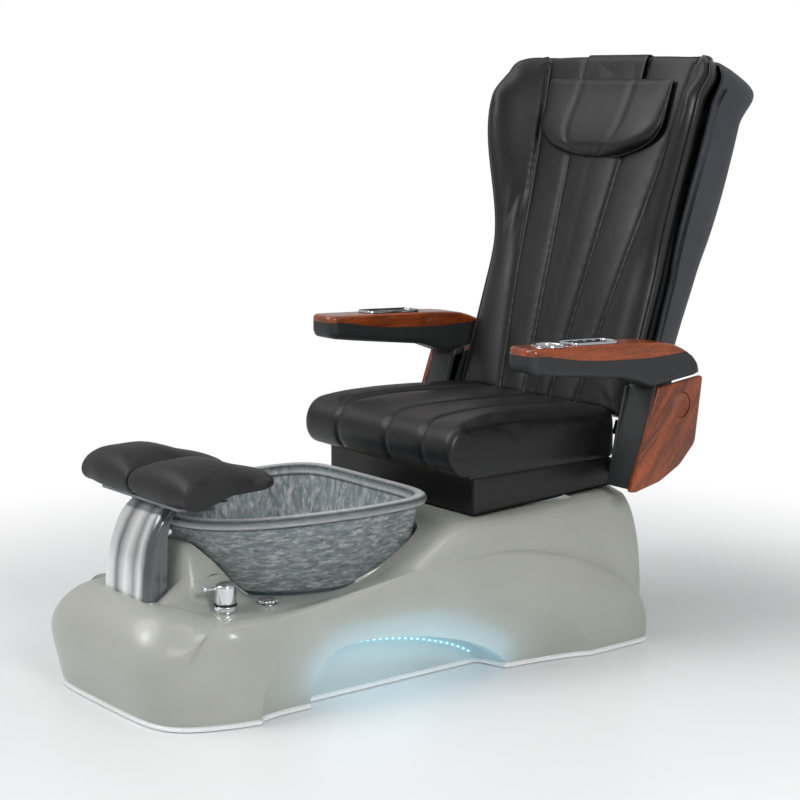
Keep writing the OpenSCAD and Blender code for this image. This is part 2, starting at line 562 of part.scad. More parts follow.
// ---- slide ----
rail_y0 = 78;
rail_y1 = 392;
module rail_channel() translate([rail_x, rail_y0, seat_gap]) difference() {
    translate([-rail_w / 2, 0, 0]) cube([rail_w, rail_y1 - rail_y0, rail_h]);
    translate([-rail_w / 2 + 3, -1, 3]) cube([rail_w - 6, 400, rail_h - 6]);
    translate([-7, -1, 6]) cube([14, 400, rail_h]);
}
module rail_runner() translate([rail_x, rail_y0 + 25, seat_gap]) {
    translate([-rail_w / 2 + 3.5, 0, 3.5]) cube([rail_w - 7, rail_y1 - rail_y0 - 90, rail_h - 7]);
    translate([-6, 0, 6]) cube([12, rail_y1 - rail_y0 - 90, rail_h]);
}
module fixed_rails() in_frame() color("#9a9ea1") on_slope() both_sides() rail_channel();
module moving_rails() in_frame() color("#c9ccce") on_slope() both_sides() rail_runner();
screw_h = 18;
module slide_actuator() in_frame() color("#3c4043") on_slope() {
    translate([-20, rail_y0, seat_gap]) cube([40, 170, 5]);
    translate([0, rail_y0 + 4, screw_h]) rotate([-90, 0, 0]) cylinder(h = 150, r = 12, $fn = 32);
    translate([0, rail_y0 + 150, screw_h]) rotate([-90, 0, 0]) cylinder(h = 160, r = 5, $fn = 24);
    for (y = [8, 130]) translate([-9, rail_y0 + y, 4]) cube([18, 16, 10]);
}

// ---- seat ----
frame_low = rail_h + 6 + 0.65;
beam_top = seat_box_top - 14.7;
beam_end = seat_box_d + 8;
plate_x = 289;
module seat_frame() in_frame() color("#3c4043") {
    both_sides() across(rail_x - 14, rail_x + 14) polygon([
        [45, platform_z(45) + frame_low], [seat_box_d - 6, platform_z(seat_box_d - 6) + frame_low],
        [beam_end, 374], [beam_end, beam_top], [45, beam_top]]);
    // Cross tube, open where the recline lever swings
    bar(-plate_x - 8, lever_x - 18, beam_end, beam_end + 26, 374, beam_top);
    bar(lever_x + 18, plate_x + 8, beam_end, beam_end + 26, 374, beam_top);
    for (y = [60, 288]) bar(-rail_x, rail_x, y, y + 24, beam_top - 13, beam_top);
    both_sides() across(plate_x, plate_x + 8) difference() {
        translate([seat_box_d, 0]) polygon([[8, 374], [44, 374], [108, 520], [108, 566], [56, 572],
            [22, 500], [8, 420]]);
        translate([hinge_y, hinge_z]) circle(hinge_r + 0.05, $fn = 32);
        translate([arm_y, arm_z]) circle(arm_pin_r + 0.05, $fn = 32);
    }
    // Nut that the slide's screw runs through
    difference() {
        bar(-14, 14, 290, 308, platform_z(300) + 8, beam_top - 12);
        on_slope() translate([0, 250, screw_h]) rotate([-90, 0, 0]) cylinder(h = 90, r = 5.5, $fn = 24);
    }
}
module seat_pan() in_frame() color("#a97e4e") translate([0, 0, seat_box_top - 14.4])
    difference() {
        bar(-seat_box_w / 2 + board + seat_gap, seat_box_w / 2 - board - seat_gap, board + seat_gap, seat_box_d, 0, 12);
        for (x = [-140:70:140], y = [90:80:330]) translate([x, y, -1]) cylinder(h = 20, r = 9, $fn = 16);
    }
module seat_apron() in_frame() color("#262728") difference() {
    translate([0, seat_box_d / 2, platform_h - 5]) linear_extrude(seat_box_top - seat_gap - platform_h + 5) difference() {
        rounded(seat_box_w, seat_box_d, 12);
        translate([0, board]) square([seat_box_w - 2 * board, seat_box_d], center = true);
    }
    on_slope() translate([-400, -200, -100]) cube([800, 900, 103]);
}
seat_rear = seat_box_d - 1;
module seat_cushion() in_frame() color("#2b2c2d") {
    half = seat_half;
    seams = [-seat_seam, 0, seat_seam];
    groove = function (x) let (d = min([for (s = seams) abs(x - s)])) channel * (1 - ramp(d, 0, 20));
    ring_of = function (x)
        let (side = ramp(abs(x), half - 26, half), g = groove(x), b = seat_box_top + 0.3,
             crown = seat_top - g - 12 * side, nose = -seat_nose + g + 10 * side,
             arc = [for (a = [0:18:180]) [nose + 52 - 52 * pow(sin(a), 0.8),
                 lerp(b + 8, crown - 4, (1 - cos(a)) / 2)]])
        concat([[x, -20, b + 1], [x, -32, b + 2]],
            [for (p = arc) [x, p[0], p[1]]],
            [for (i = [1:6]) let (y = lerp(nose + 52, seat_rear - 16, i / 6), s = i / 6)
                [x, y, crown - 10 * ramp(s, 0.2, 1) + 2 * sin(180 * s)]],
            [[x, seat_rear - 5, crown - 17], [x, seat_rear, crown - 34],
             [x, seat_rear, b + 12], [x, seat_rear - 8, b], [x, 200, b], [x, 4, b]]);
    stations = [for (s = [-1:0.125:1]) s * (half - 26)];
    xs = concat([-half, -half + 4, -half + 13], [for (i = [0:24]) lerp(-half + 26, half - 26, i / 24)],
        [half - 13, half - 4, half]);
    loft([for (x = xs) ring_of(x)]);
}

// ---- recline drive ----
lever = 93;
lever_x = 60;
rod_z = hinge_z - lever;
module recline_motor() in_frame() color("#3c4043") translate([lever_x, 0, 0]) difference() {
    union() {
        translate([0, 110, rod_z]) rotate([-90, 0, 0]) cylinder(h = 165, r = 12, $fn = 32);
        bar(-10, 10, 84 + seat_gap, 112, rod_z - 4, rod_z + 12);
        bar(-10, 10, 84 + seat_gap, 100, rod_z + 6, beam_top);
    }
    translate([0, 130, rod_z]) rotate([-90, 0, 0]) cylinder(h = 200, r = 6.4, $fn = 24);
}
module recline_rod() in_frame() color("#c9ccce") translate([lever_x, 0, 0]) difference() {
    union() {
        translate([0, 215, rod_z]) rotate([-90, 0, 0]) cylinder(h = hinge_y - 230, r = 6, $fn = 24);
        bar(-3.5, 3.5, hinge_y - 17, hinge_y + 14, rod_z - 13, rod_z + 23);
    }
    // Slot that takes up the rise of the lever's pin
    across(-5, 5) translate([hinge_y, rod_z]) {
        circle(6.5, $fn = 24);
        translate([0, 14]) circle(6.5, $fn = 24);
        translate([-6.5, 0]) square([13, 14]);
    }
}
module recline_pins() in_frame() color("#c9ccce") translate([0, hinge_y, hinge_z]) both_sides()
    rod_x(227, plate_x + 10, hinge_r);

// ---- backrest, drawn square to its own lean ----
// Height at which the shoulders and the wings are at their fullest
shoulder_z = back_long - 132;
function back_w(z) = back_half + shoulder * ramp(z, shoulder_z - 350, shoulder_z)
    - 17 * ramp(z, shoulder_z + 15, back_long + 20);
function wing_y(z) = -60 - wing_out * ramp(z, shoulder_z - 400, shoulder_z + 5)
    + 33 * ramp(z, shoulder_z + 10, shoulder_z + 105) + 22 * ramp(z, shoulder_z + 100, back_long);
function seam_out(z) = 147 + 70 * (z - 151) / 505;
function seam_in(z) = 53 + 33 * (z - 158) / 449;
back_low = 22;
back_round = 12;
function shell_w(z) = back_w(z) * pow(1 - pow(clamp01(abs(2 * (z - back_low) / (back_long - back_low) - 1)),
    back_round), 1 / back_round);
function back_rear(z) = 78 + 44 * ramp(z, 180, shoulder_z - 170) + 24 * ramp(z, shoulder_z - 15, shoulder_z + 70);

module back_cushion() in_frame() color("#2b2c2d") on_back() {
    front_y = function (x, z)
        let (w = back_w(z), a = abs(x), so = min(seam_out(z), w - 60), si = min(seam_in(z), so - 40),
             d = min(abs(a - so), abs(a - si)), out = clamp01((a - so) / (w - so)),
             panel = -60 + 12 * ramp(z, 250, shoulder_z - 80) * ramp(a, si, so))
        lerp(panel, wing_y(z), ramp(out, 0, 0.85)) - 6 * sin(180 * out) + channel * (1 - ramp(d, 0, 18))
        + 10 * ramp(a, w - 16, w);
    rear_y = function (x, z)
        let (w = shell_w(z), out = max(ramp(z, back_long - 50, back_long - 14),
                 ramp(abs(x), min(seam_out(z), w - 60), w - 14)))
        lerp(-16 * (1 - ramp(abs(x), 110, seam_out(z))), wing_y(z) + 60 - 5 * ramp(z, shoulder_z - 30, shoulder_z + 50), out);
    ring_of = function (z, inset, flatten)
        let (w = back_w(z) - inset, so = min(seam_out(z), w - 60), si = min(seam_in(z), so - 40),
             half = [w, w - 7, w - 20, lerp(so, w, 0.55), so + 20, so + 8, so, so - 12, lerp(si, so, 0.5),
                     si + 12, si, si - 12],
             xs = concat([for (x = half) -x], [0], backwards(half)),
             mid = function (x) lerp(front_y(x, z), rear_y(x, z), 0.5),
             side = [w, w - 14, lerp(so, w, 0.6), lerp(so, w, 0.25), so, si],
             back = [for (x = concat(side, backwards([for (x = side) -x]))) [x, lerp(rear_y(x, z), mid(x), flatten * 0.6), z]])
        concat([for (x = xs) [x, lerp(front_y(x, z), mid(x), flatten), z]], back);
    rows = concat([[back_low, 12, 0.55], [back_low + 5, 4, 0.2], [back_low + 16, 0, 0]],
        [for (i = [1:15]) [lerp(back_low + 16, back_long - 70, i / 15), 0, 0]],
        [for (a = [25:16:89]) [back_long - 60 + 60 * sin(a), 60 * (1 - cos(a)), 0.5 * pow(sin(a), 12)]]);
    loft([for (r = rows) ring_of(r[0], r[1], r[2])], flip = true);
}
module back_shell() in_frame() color("#2e3035") on_back() difference() {
    walk = concat([for (i = [0:9]) [-sin(90 - 18 * i), -1]], [for (i = [0:17]) [1, -sin(90 - 10 * i)]],
        [for (i = [0:9]) [sin(90 - 18 * i), 1]], [for (i = [0:17]) [-1, sin(90 - 10 * i)]]);
    z_mid = (back_low + back_long) / 2;
    z_half = (back_long - back_low) / 2;
    at = function (w, inset, deep)
        let (s = rounding(w[0], w[1], back_round), z = z_mid + w[1] * s * (z_half - inset * 0.8),
             front = wing_y(z) + 61.3, y = lerp(front, back_rear(z), deep))
        [w[0] * s * (back_w(z) - inset), min(y, back_rear(z)), z];
    row = function (inset, deep, thick = 0)
        [for (w = walk) let (p = at(w, inset, deep)) [p[0], p[1] - thick, p[2]]];
    loft([row(250, 1), row(60, 1), row(32, 0.97), row(18, 0.8), row(8, 0.45), row(1, 0.12), row(0, 0),
          row(6, 0), row(8, 0.12), row(14, 0.45), row(24, 0.8), row(40, 0.95, 5), row(70, 1, 6), row(250, 1, 6)],
        flip = true);
    // Ways through the lower edge for the frame and the recline lever
    both_sides() bar(224, 254, -20, bar_y + 9, back_low - 5, back_low + 80);
    bar(lever_x - 14, lever_x + 14, bar_y - 18, bar_y + 9, back_low - 5, back_low + 26);
}
bar_y = 33;
frame_high = back_long - 162;
module back_frame() in_frame() color("#4b4f52") on_back() {
    both_sides() difference() {
        union() {
            bar(228, 250, 6, bar_y + 8, 15, frame_high);
            bar(228, 250, -14, bar_y + 8, -16, 17);
        }
        rod_x(200, 300, hinge_r + 0.05);
    }
    for (z = [60, 380, frame_high - 30]) bar(-228, 228, bar_y, bar_y + 8, z, z + 24);
    // Lever with the pin that the recline rod moves
    for (x = [lever_x - 10, lever_x + 4]) bar(x, x + 6, bar_y - 14, bar_y + 1, -88, 84);
    for (x = [lever_x - 10, lever_x + 4]) translate([0, bar_y - 5, -lever * cos(back_lean)]) rod_x(x, x + 6, 11);
    translate([0, lever * sin(back_lean), -lever * cos(back_lean)]) rod_x(lever_x - 9, lever_x + 9, 5);
}
track_in = 84;
carriage_z = 330;
module massage_tracks() in_frame() color("#9a9ea1") on_back() both_sides() difference() {
    bar(track_in, track_in + 16, 14, bar_y - seat_gap, 70, frame_high - 10);
    bar(track_in - 1, track_in + 12, 18, 29, 60, frame_high);
}
module massage_carriage() in_frame() color("#c9ccce") on_back() difference() {
    union() {
        bar(-track_in - 11.5, track_in + 11.5, 23, 28.5, carriage_z, carriage_z + 100);
        for (x = [-28, 22], z = [15, 85]) bar(x, x + 6, -4, 24, carriage_z + z - 10, carriage_z + z + 10);
    }
    for (z = [15, 85]) translate([0, 3, carriage_z + z]) rod_x(-80, 80, 4.05, 24);
}
module roller_pair(z) in_frame() color("#e4e6e6") on_back() translate([0, 3, carriage_z + z]) {
    rod_x(-60, 60, 4, 24);
    both_sides() {
        rod_x(34, 38, 15);
        rod_x(37, 53, 18);
        rod_x(52, 56, 15);
    }
}
module rollers_lower() roller_pair(15);
module rollers_upper() roller_pair(85);

// ---- headrest ----
pillow_top = back_long - 60;
pillow_low = pillow_top - 192;
pillow_back = -61;
strap_half = 100;
module pillow_strap() in_frame() color("#2b2c2d") on_back() across(-strap_half, strap_half) {
    inner = [[pillow_back + 0.2, pillow_top + 1.2], [pillow_back + 0.2, back_long - 20], [-60, back_long - 9],
        [-54, back_long],
        [-40, back_long + 1.2], [2, back_long + 1], [34, back_long - 2]];
    outer = [[33, back_long + 0.8], [2, back_long + 3.8], [-41, back_long + 4], [-56, back_long + 2.6], [-62.4, back_long - 8],
        [pillow_back - 2.6, back_long - 20], [pillow_back - 2.6, pillow_top + 1.2]];
    polygon(concat(inner, outer));
}
module headrest_pillow() in_frame() color("#303132") on_back() {
    wide = function (z) pillow_half * sqrt(max(0, 1 - pow(clamp01((pillow_low + 97 - z) / 97), 2)));
    rows = concat([for (s = [0, 3, 12, 28, 55, 90, 130]) pillow_low + s], [for (s = [27, 8, 1, 0]) pillow_top - s]);
    across_x = [-1, -0.97, -0.88, -0.7, -0.52, -0.43, -0.34, 0, 0.34, 0.43, 0.52, 0.7, 0.88, 0.97, 1];
    thick = function (k, z)
        let (edge = pow(1 - pow(abs(k), 6), 0.5), base = pow(clamp01((z - pillow_low) / 24), 0.5),
             lid = pow(clamp01((pillow_top + 1 - z) / 12), 0.5), d = min(abs(k - 0.43), abs(k + 0.43)))
        3 + (lerp(pillow_thick - 3, 9, ramp(z, pillow_low + 20, pillow_top))
             - 4 * (1 - ramp(d, 0, 0.08))) * edge * base * lid;
    loft([for (z = rows) concat(
        [for (k = across_x) [k * max(8, wide(z)), pillow_back - thick(k, z), z]],
        [for (k = [1, 0.5, 0, -0.5, -1]) [k * max(8, wide(z)), pillow_back, z]])], flip = true);
}

// ---- armrests ----
// Place of the pivot in the drawing of the arm, which moves with the seat box
pivot_y = 483;
arm_z = 543;
module at_arm(side) in_frame() translate([0, arm_y - pivot_y, 0]) mirrored(side) children();
arm_mid = (arm_in + arm_out) / 2;
arm_w = arm_out - arm_in;
arm_front = 39.7;
top_drop = 11.2;
arm_tilt = atan(top_drop / 290);
cup_y = 123;
// Wood left on each side of the cup's well
cup_edge = 10.9;
cup_r = arm_w / 2 - cup_edge;
module arm_plan() translate([arm_mid, arm_front + 300, 500]) linear_extrude(300) rounded(arm_w, 600, 16);
module on_arm(y) translate([arm_mid + 2, y, arm_top - (y - 60) * top_drop / 290]) rotate([-arm_tilt, 0, 0]) children();
module cup_well(r, deep) on_arm(cup_y) translate([0, 0, -deep]) cylinder(h = deep + 20, r = r, $fn = 48);
module arm_body(side) at_arm(side) color("#3a3b3c") difference() {
    union() {
        intersection() {
            across(arm_in, arm_out) polygon([[81, 687.7], [202, 666.7], [382, 656.7], [482, 660.7],
                [503, 661], [520, 651], [537, 632], [546, 610], [541, 606], [412, 591], [403, 586],
                [385, 592], [350, 607], [316, 617], [174, 633], [60, 648], [48, 652], [41, 664],
                [arm_front, 687.7]]);
            arm_plan();
        }
        // Leaning post and the cheek behind it
        across(arm_in - 6.7, arm_out - panel_thick - seat_gap) polygon([[346, 364], [376, 478], [412, 589],
            [442, 597], [404, 478], [374, 364]]);
        across(arm_in - 6.7, arm_in) polygon([[400, 582], [548, 603], [538, 525], [528, 450], [482, 409],
            [420, 379], [350, 364], [372, 477]]);
        translate([0, pivot_y, arm_z]) rod_x(plate_x + 8.4, arm_out - panel_thick - seat_gap, 24);
    }
    if (side > 0) cup_well(cup_r, 44);
    translate([0, pivot_y, arm_z]) rod_x(plate_x, arm_out + 5, arm_pin_r + 0.05);
}
module arm_body_left() arm_body(1);
module arm_body_right() arm_body(-1);
module arm_cap(side) at_arm(side) color("#8a4b2a") difference() {
    intersection() {
        across(arm_in, arm_out) polygon([[arm_front, 688], [arm_front, 698], [43, 702], [50, arm_top],
            [60, arm_top], [350, arm_top - top_drop], [400, 690], [442, 685], [470, 677], [490, 669],
            [500, 662], [482, 661], [382, 657], [202, 667], [81, 688]]);
        arm_plan();
    }
    if (side > 0) cup_well(cup_r, 44);
}
module arm_cap_left() arm_cap(1);
module arm_cap_right() arm_cap(-1);
module arm_panel(side) at_arm(side) color("#8a4b2a") difference() {
    across(arm_out - panel_thick, arm_out) polygon([[414, 587], [544, 602], [550, 598], [541, 525],
        [532, 456], [527, 446], [484, 407], [422, 377], [348, 362], [330, 365], [329, 372], [372, 477]]);
    translate([0, pivot_y, arm_z]) rod_x(arm_out - 5, arm_out + 5, cap_r + 0.3, 48);
    translate([0, pivot_y, arm_z]) rod_x(arm_in, arm_out + 5, arm_pin_r + 0.05);
}
module arm_panel_left() arm_panel(1);
module arm_panel_right() arm_panel(-1);
module arm_pivot(side) at_arm(side) color("#7a4225") translate([0, pivot_y, arm_z]) {
    rod_x(plate_x - 1, arm_out - 3, arm_pin_r);
    rod_x(arm_out - 4.7, arm_out - 2, cap_r, 48);
}
module arm_pivot_left() arm_pivot(1);
module arm_pivot_right() arm_pivot(-1);

// ---- fittings on the arms ----
module cup_ring() at_arm(1) color("#d5d8da") on_arm(cup_y) difference() {
    union() {
        translate([0, 0, seat_gap]) cylinder(h = 3, r = cup_r + 6, $fn = 48);
        translate([0, 0, -43.5]) cylinder(h = 45, r = cup_r - seat_gap, $fn = 48);
    }
    translate([0, 0, -41]) cylinder(h = 60, r = cup_r - 2.5, $fn = 48);
}
module tray(side, y, long) at_arm(side) color("#d5d8da") on_arm(y) translate([0, 0, seat_gap])
    difference() {
        linear_extrude(6) rounded(56, long, 12);
        translate([0, 0, 3]) linear_extrude(6) rounded(50, long - 6, 9);
    }
module control_tray() tray(1, 236, 130);
module side_tray() tray(-1, 247, 156);
module control_keys() at_arm(1) color("#1c1d1f") on_arm(236) translate([0, 0, 3.6]) {
    linear_extrude(1.4) rounded(48, 122, 8);
    for (i = [0:3], x = [-10, 10]) translate([x, -40 + 26 * i, 1.2]) cylinder(h = 1.2, r = 6, $fn = 20);
}

base_shell();
base_trim();
foot_bowl();
bowl_gasket();
drain_flange();
drain_nut();
drain_pipe();
drain_pump();
base_frame();
levelling_feet();
control_box();
water_manifold();
supply_pipes();
light_strip_left();
light_strip_right();
pedestal();
footrest_pin();
footrest_bracket();
footrest_pad_left();
footrest_pad_right();
mixer_body();
mixer_handle();
diverter_body();
diverter_knob();
tap_body();
tap_knob();
fixed_rails();
slide_actuator();
moving_rails();
seat_frame();
seat_pan();
seat_apron();
seat_cushion();
recline_motor();
recline_rod();
recline_pins();
back_frame();
back_cushion();
back_shell();
massage_tracks();
massage_carriage();
rollers_lower();
rollers_upper();
pillow_strap();
headrest_pillow();
arm_body_left();
arm_body_right();
arm_cap_left();
arm_cap_right();
arm_panel_left();
arm_panel_right();
arm_pivot_left();
arm_pivot_right();
cup_ring();
control_tray();
control_keys();
side_tray();
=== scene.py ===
import json
import math

import bmesh
import bpy
import numpy as np
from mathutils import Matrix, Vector


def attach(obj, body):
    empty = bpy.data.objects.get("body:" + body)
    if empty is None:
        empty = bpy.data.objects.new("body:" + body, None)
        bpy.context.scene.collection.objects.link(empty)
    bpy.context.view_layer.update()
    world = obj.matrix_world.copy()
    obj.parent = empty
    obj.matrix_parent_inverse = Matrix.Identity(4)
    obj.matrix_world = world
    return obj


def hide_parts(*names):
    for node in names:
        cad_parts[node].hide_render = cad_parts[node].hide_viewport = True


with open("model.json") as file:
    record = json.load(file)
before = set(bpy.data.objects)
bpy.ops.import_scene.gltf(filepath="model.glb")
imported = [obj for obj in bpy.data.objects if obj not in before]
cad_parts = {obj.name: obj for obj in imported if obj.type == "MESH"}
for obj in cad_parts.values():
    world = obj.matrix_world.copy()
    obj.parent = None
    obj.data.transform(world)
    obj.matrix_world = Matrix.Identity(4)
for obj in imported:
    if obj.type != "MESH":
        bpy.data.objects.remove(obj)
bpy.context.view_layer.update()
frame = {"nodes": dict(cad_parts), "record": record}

bl_info = {
    "name": "Pedicure spa chair",
    "version": (1, 0, 0),
    "blender": (4, 5, 0),
    "location": "View3D > Sidebar > Spa chair",
    "description": "Builds the visible pieces of a pedicure spa chair around its packed frame",
    "category": "Object",
}

# Lengths in the shape functions are millimetres, with y = 0 at the front face of the seat box.
MM = 0.001
ORIGIN_Y = 24.0         # the frame's own origin, in those millimetres
LEAN = math.radians(17.6)
HINGE = (455.0, 470.0)  # the backrest's hinge, as (y, z)
BACK_LOW, BACK_LONG = 22.0, 862.0       # lower and upper end of the backrest along its own length
SIDES = (("left", 1), ("right", -1))
BOWL_MIDDLE = (0.0, -0.354, 0.0)        # in metres, for the glass's nodes
PLATFORM_SLOPE = math.tan(math.radians(2.2))
DRAIN_Y = -297.0        # middle of the bowl's drain
WELL_GAP = 6.5          # from the bowl's wall to the moulding's well
RECESS_X = 236.0        # inner wall of the lit recess
PAD_LOW = 416.3         # underside of the seat cushion
PAD_EDGE = 24.0         # rounding of the seat cushion's sides
COVER_RIM = 61.3        # from a wing's face back to the rim of the cover
ZIP_SHARE = 0.115       # place of the zip between the cover's rim and its rear


# ---- colours and nodes ----
def to_linear(code):
    """An sRGB hex value as linear RGBA."""
    parts = [int(code[i:i + 2], 16) / 255 for i in (1, 3, 5)]
    return (*[p / 12.92 if p <= 0.04045 else ((p + 0.055) / 1.055) ** 2.4 for p in parts], 1.0)


def shade(colour, k):
    return (*[min(1.0, c * k) for c in colour[:3]], 1.0)


def chosen(key):
    """The user's colour for a piece, as linear RGBA."""
    return (*getattr(bpy.context.scene.spa_colours, key), 1.0)


def add(tree, kind, inputs=None, stops=(), **settings):
    """Adds a node with its settings; an input is a value, or (node, output) for a link, and stops
    are the (place, colour) pairs of a colour ramp."""
    made = tree.nodes.new(kind)
    for key, value in settings.items():
        setattr(made, key, value)
    for key, value in (inputs or {}).items():
        socket = made.inputs[key]
        if isinstance(value, tuple) and isinstance(value[0], bpy.types.Node):
            tree.links.new(value[0].outputs[value[1]], socket)
        else:
            socket.default_value = value
    if stops:
        band = made.color_ramp.elements
        while len(band) < len(stops):
            band.new(0.5)
        for element, (place, colour) in zip(band, stops):
            element.position, element.color = place, colour
    return made


def start_material(name):
    """An empty material, its tree and the object coordinates that its patterns read."""
    made = bpy.data.materials.new(name)
    made.use_nodes = True
    made.node_tree.nodes.clear()
    return made, made.node_tree, (add(made.node_tree, "ShaderNodeTexCoord"), "Object")


def finish_material(made, inputs):
    shader = add(made.node_tree, "ShaderNodeBsdfPrincipled", inputs)
    add(made.node_tree, "ShaderNodeOutputMaterial", {"Surface": (shader, "BSDF")})
    return made


MATERIALS = {}


def material(name):
    """The finished material of that name, built the first time it is asked for."""
    if name not in MATERIALS:
        MATERIALS[name] = RECIPES[name](name)
    return MATERIALS[name]


def leather(name, colour, grain, rough, specular):
    """Coated leather: a pebble grain of closed cells, over slow swells of the hide."""
    made, tree, where = start_material(name)
    pebbles = add(tree, "ShaderNodeTexVoronoi", {"Vector": where, "Scale": 1 / (grain * MM)},
                  feature="DISTANCE_TO_EDGE")
    hide = add(tree, "ShaderNodeTexNoise", {"Vector": where, "Scale": 16.0, "Detail": 5.0,
                                            "Roughness": 0.55})
    fine = add(tree, "ShaderNodeTexNoise", {"Vector": where, "Scale": 900.0, "Detail": 2.0})
    tone = add(tree, "ShaderNodeValToRGB", {"Fac": (hide, "Fac")},
               [(0.3, shade(colour, 0.82)), (0.7, shade(colour, 1.18))])
    gloss = add(tree, "ShaderNodeMapRange", {"Value": (hide, "Fac"), "From Min": 0.3, "From Max": 0.7,
                                             "To Min": rough - 0.04, "To Max": rough + 0.06})
    swells = add(tree, "ShaderNodeBump", {"Height": (hide, "Fac"), "Strength": 0.22, "Distance": 0.004})
    cells = add(tree, "ShaderNodeBump", {"Height": (pebbles, "Distance"), "Strength": 0.16,
                                         "Distance": 0.0005, "Normal": (swells, "Normal")})
    pores = add(tree, "ShaderNodeBump", {"Height": (fine, "Fac"), "Strength": 0.10, "Distance": 0.0002,
                                         "Normal": (cells, "Normal")})
    return finish_material(made, {
        "Base Color": (tone, "Color"), "Roughness": (gloss, "Result"), "Normal": (pores, "Normal"),
        "Specular IOR Level": specular})


def plain(name, colour, rough, metallic=0.0, texture=0.0, size=1.0, specular=0.5, coat=0.0, vary=0.08):
    """Moulded, painted or polished stuff: one colour that drifts a little, and a surface texture."""
    made, tree, where = start_material(name)
    drift = add(tree, "ShaderNodeTexNoise", {"Vector": where, "Scale": 7.0, "Detail": 3.0})
    skin = add(tree, "ShaderNodeTexNoise", {"Vector": where, "Scale": 1 / (size * MM), "Detail": 3.0})
    tone = add(tree, "ShaderNodeValToRGB", {"Fac": (drift, "Fac")},
               [(0.3, shade(colour, 1 - vary)), (0.7, shade(colour, 1 + vary))])
    gloss = add(tree, "ShaderNodeMapRange", {"Value": (drift, "Fac"), "From Min": 0.3, "From Max": 0.7,
                                             "To Min": max(0.02, rough - 0.03), "To Max": rough + 0.03})
    bump = add(tree, "ShaderNodeBump", {"Height": (skin, "Fac"), "Strength": texture, "Distance": 0.0003})
    return finish_material(made, {
        "Base Color": (tone, "Color"), "Roughness": (gloss, "Result"), "Normal": (bump, "Normal"),
        "Metallic": metallic, "Specular IOR Level": specular, "Coat Weight": coat})


def veneer(name, turn, rough=0.22):
    """Lacquered walnut: long dark streaks that wander along the grain, with fine pores."""
    light, dark = chosen("wood_light"), chosen("wood_dark")
    made, tree, where = start_material(name)
    lay = add(tree, "ShaderNodeMapping", {"Vector": where, "Rotation": turn})
    longer = add(tree, "ShaderNodeMapping", {"Vector": (lay, "Vector"), "Scale": (1.0, 0.13, 1.0)})
    stretch = (longer, "Vector")
    figure = add(tree, "ShaderNodeTexNoise", {"Vector": stretch, "Scale": 62.0, "Detail": 5.0,
                                              "Roughness": 0.62, "Distortion": 1.1})
    broad = add(tree, "ShaderNodeTexNoise", {"Vector": stretch, "Scale": 17.0, "Detail": 2.0,
                                             "Distortion": 0.6})
    pores = add(tree, "ShaderNodeTexNoise", {"Vector": stretch, "Scale": 620.0, "Detail": 1.0})
    streak = add(tree, "ShaderNodeValToRGB", {"Fac": (figure, "Fac")}, [
        (0.33, dark), (0.45, shade(light, 0.62)), (0.55, light), (0.66, shade(light, 1.35))])
    band = add(tree, "ShaderNodeValToRGB", {"Fac": (broad, "Fac")},
               [(0.36, shade(dark, 1.5)), (0.55, shade(light, 1.2))])
    mixed = add(tree, "ShaderNodeMix", {0: 0.36, 6: (streak, "Color"), 7: (band, "Color")},
                data_type="RGBA")
    pits = add(tree, "ShaderNodeValToRGB", {"Fac": (pores, "Fac")},
               [(0.30, (0.45, 0.45, 0.45, 1)), (0.42, (1, 1, 1, 1))])
    final = add(tree, "ShaderNodeMix", {0: 1.0, 6: (mixed, 2), 7: (pits, "Color")}, data_type="RGBA",
                blend_type="MULTIPLY")
    bump = add(tree, "ShaderNodeBump", {"Height": (pores, "Fac"), "Strength": 0.05, "Distance": 0.0002})
    return finish_material(made, {
        "Base Color": (final, 2), "Roughness": rough, "Normal": (bump, "Normal"), "Coat Weight": 0.3,
        "Coat Roughness": 0.06})


def gel_coat(name):
    """Sprayed gel-coat on glass fibre: even and satin, with the recess diodes' light painted on as emission
    where a point attribute says.
    """
    body = chosen("gel_coat")
    made, tree, where = start_material(name)
    cloud = add(tree, "ShaderNodeTexNoise", {"Vector": where, "Scale": 5.0, "Detail": 6.0,
                                             "Roughness": 0.6})
    peel = add(tree, "ShaderNodeTexNoise", {"Vector": where, "Scale": 130.0, "Detail": 2.0})
    tone = add(tree, "ShaderNodeValToRGB", {"Fac": (cloud, "Fac")},
               [(0.3, shade(body, 0.94)), (0.7, shade(body, 1.05))])
    bump = add(tree, "ShaderNodeBump", {"Height": (peel, "Fac"), "Strength": 0.05, "Distance": 0.0006})
    # Painted light: the diodes' light on the recess is painted into the moulding as emission, dark to pale
    # cyan.
    glow = add(tree, "ShaderNodeAttribute", attribute_name="glow")
    light = add(tree, "ShaderNodeValToRGB", {"Fac": (glow, "Fac")}, [
        (0.0, (0, 0, 0, 1)), (0.25, to_linear("#30444D")), (0.5, to_linear("#56798A")),
        (0.8, to_linear("#7098A8")), (1.0, to_linear("#8AB2C2"))])
    return finish_material(made, {
        "Base Color": (tone, "Color"), "Normal": (bump, "Normal"), "Roughness": 0.30,
        "Emission Color": (light, "Color"), "Emission Strength": 1.0, "Coat Weight": 0.35,
        "Coat Roughness": 0.16})


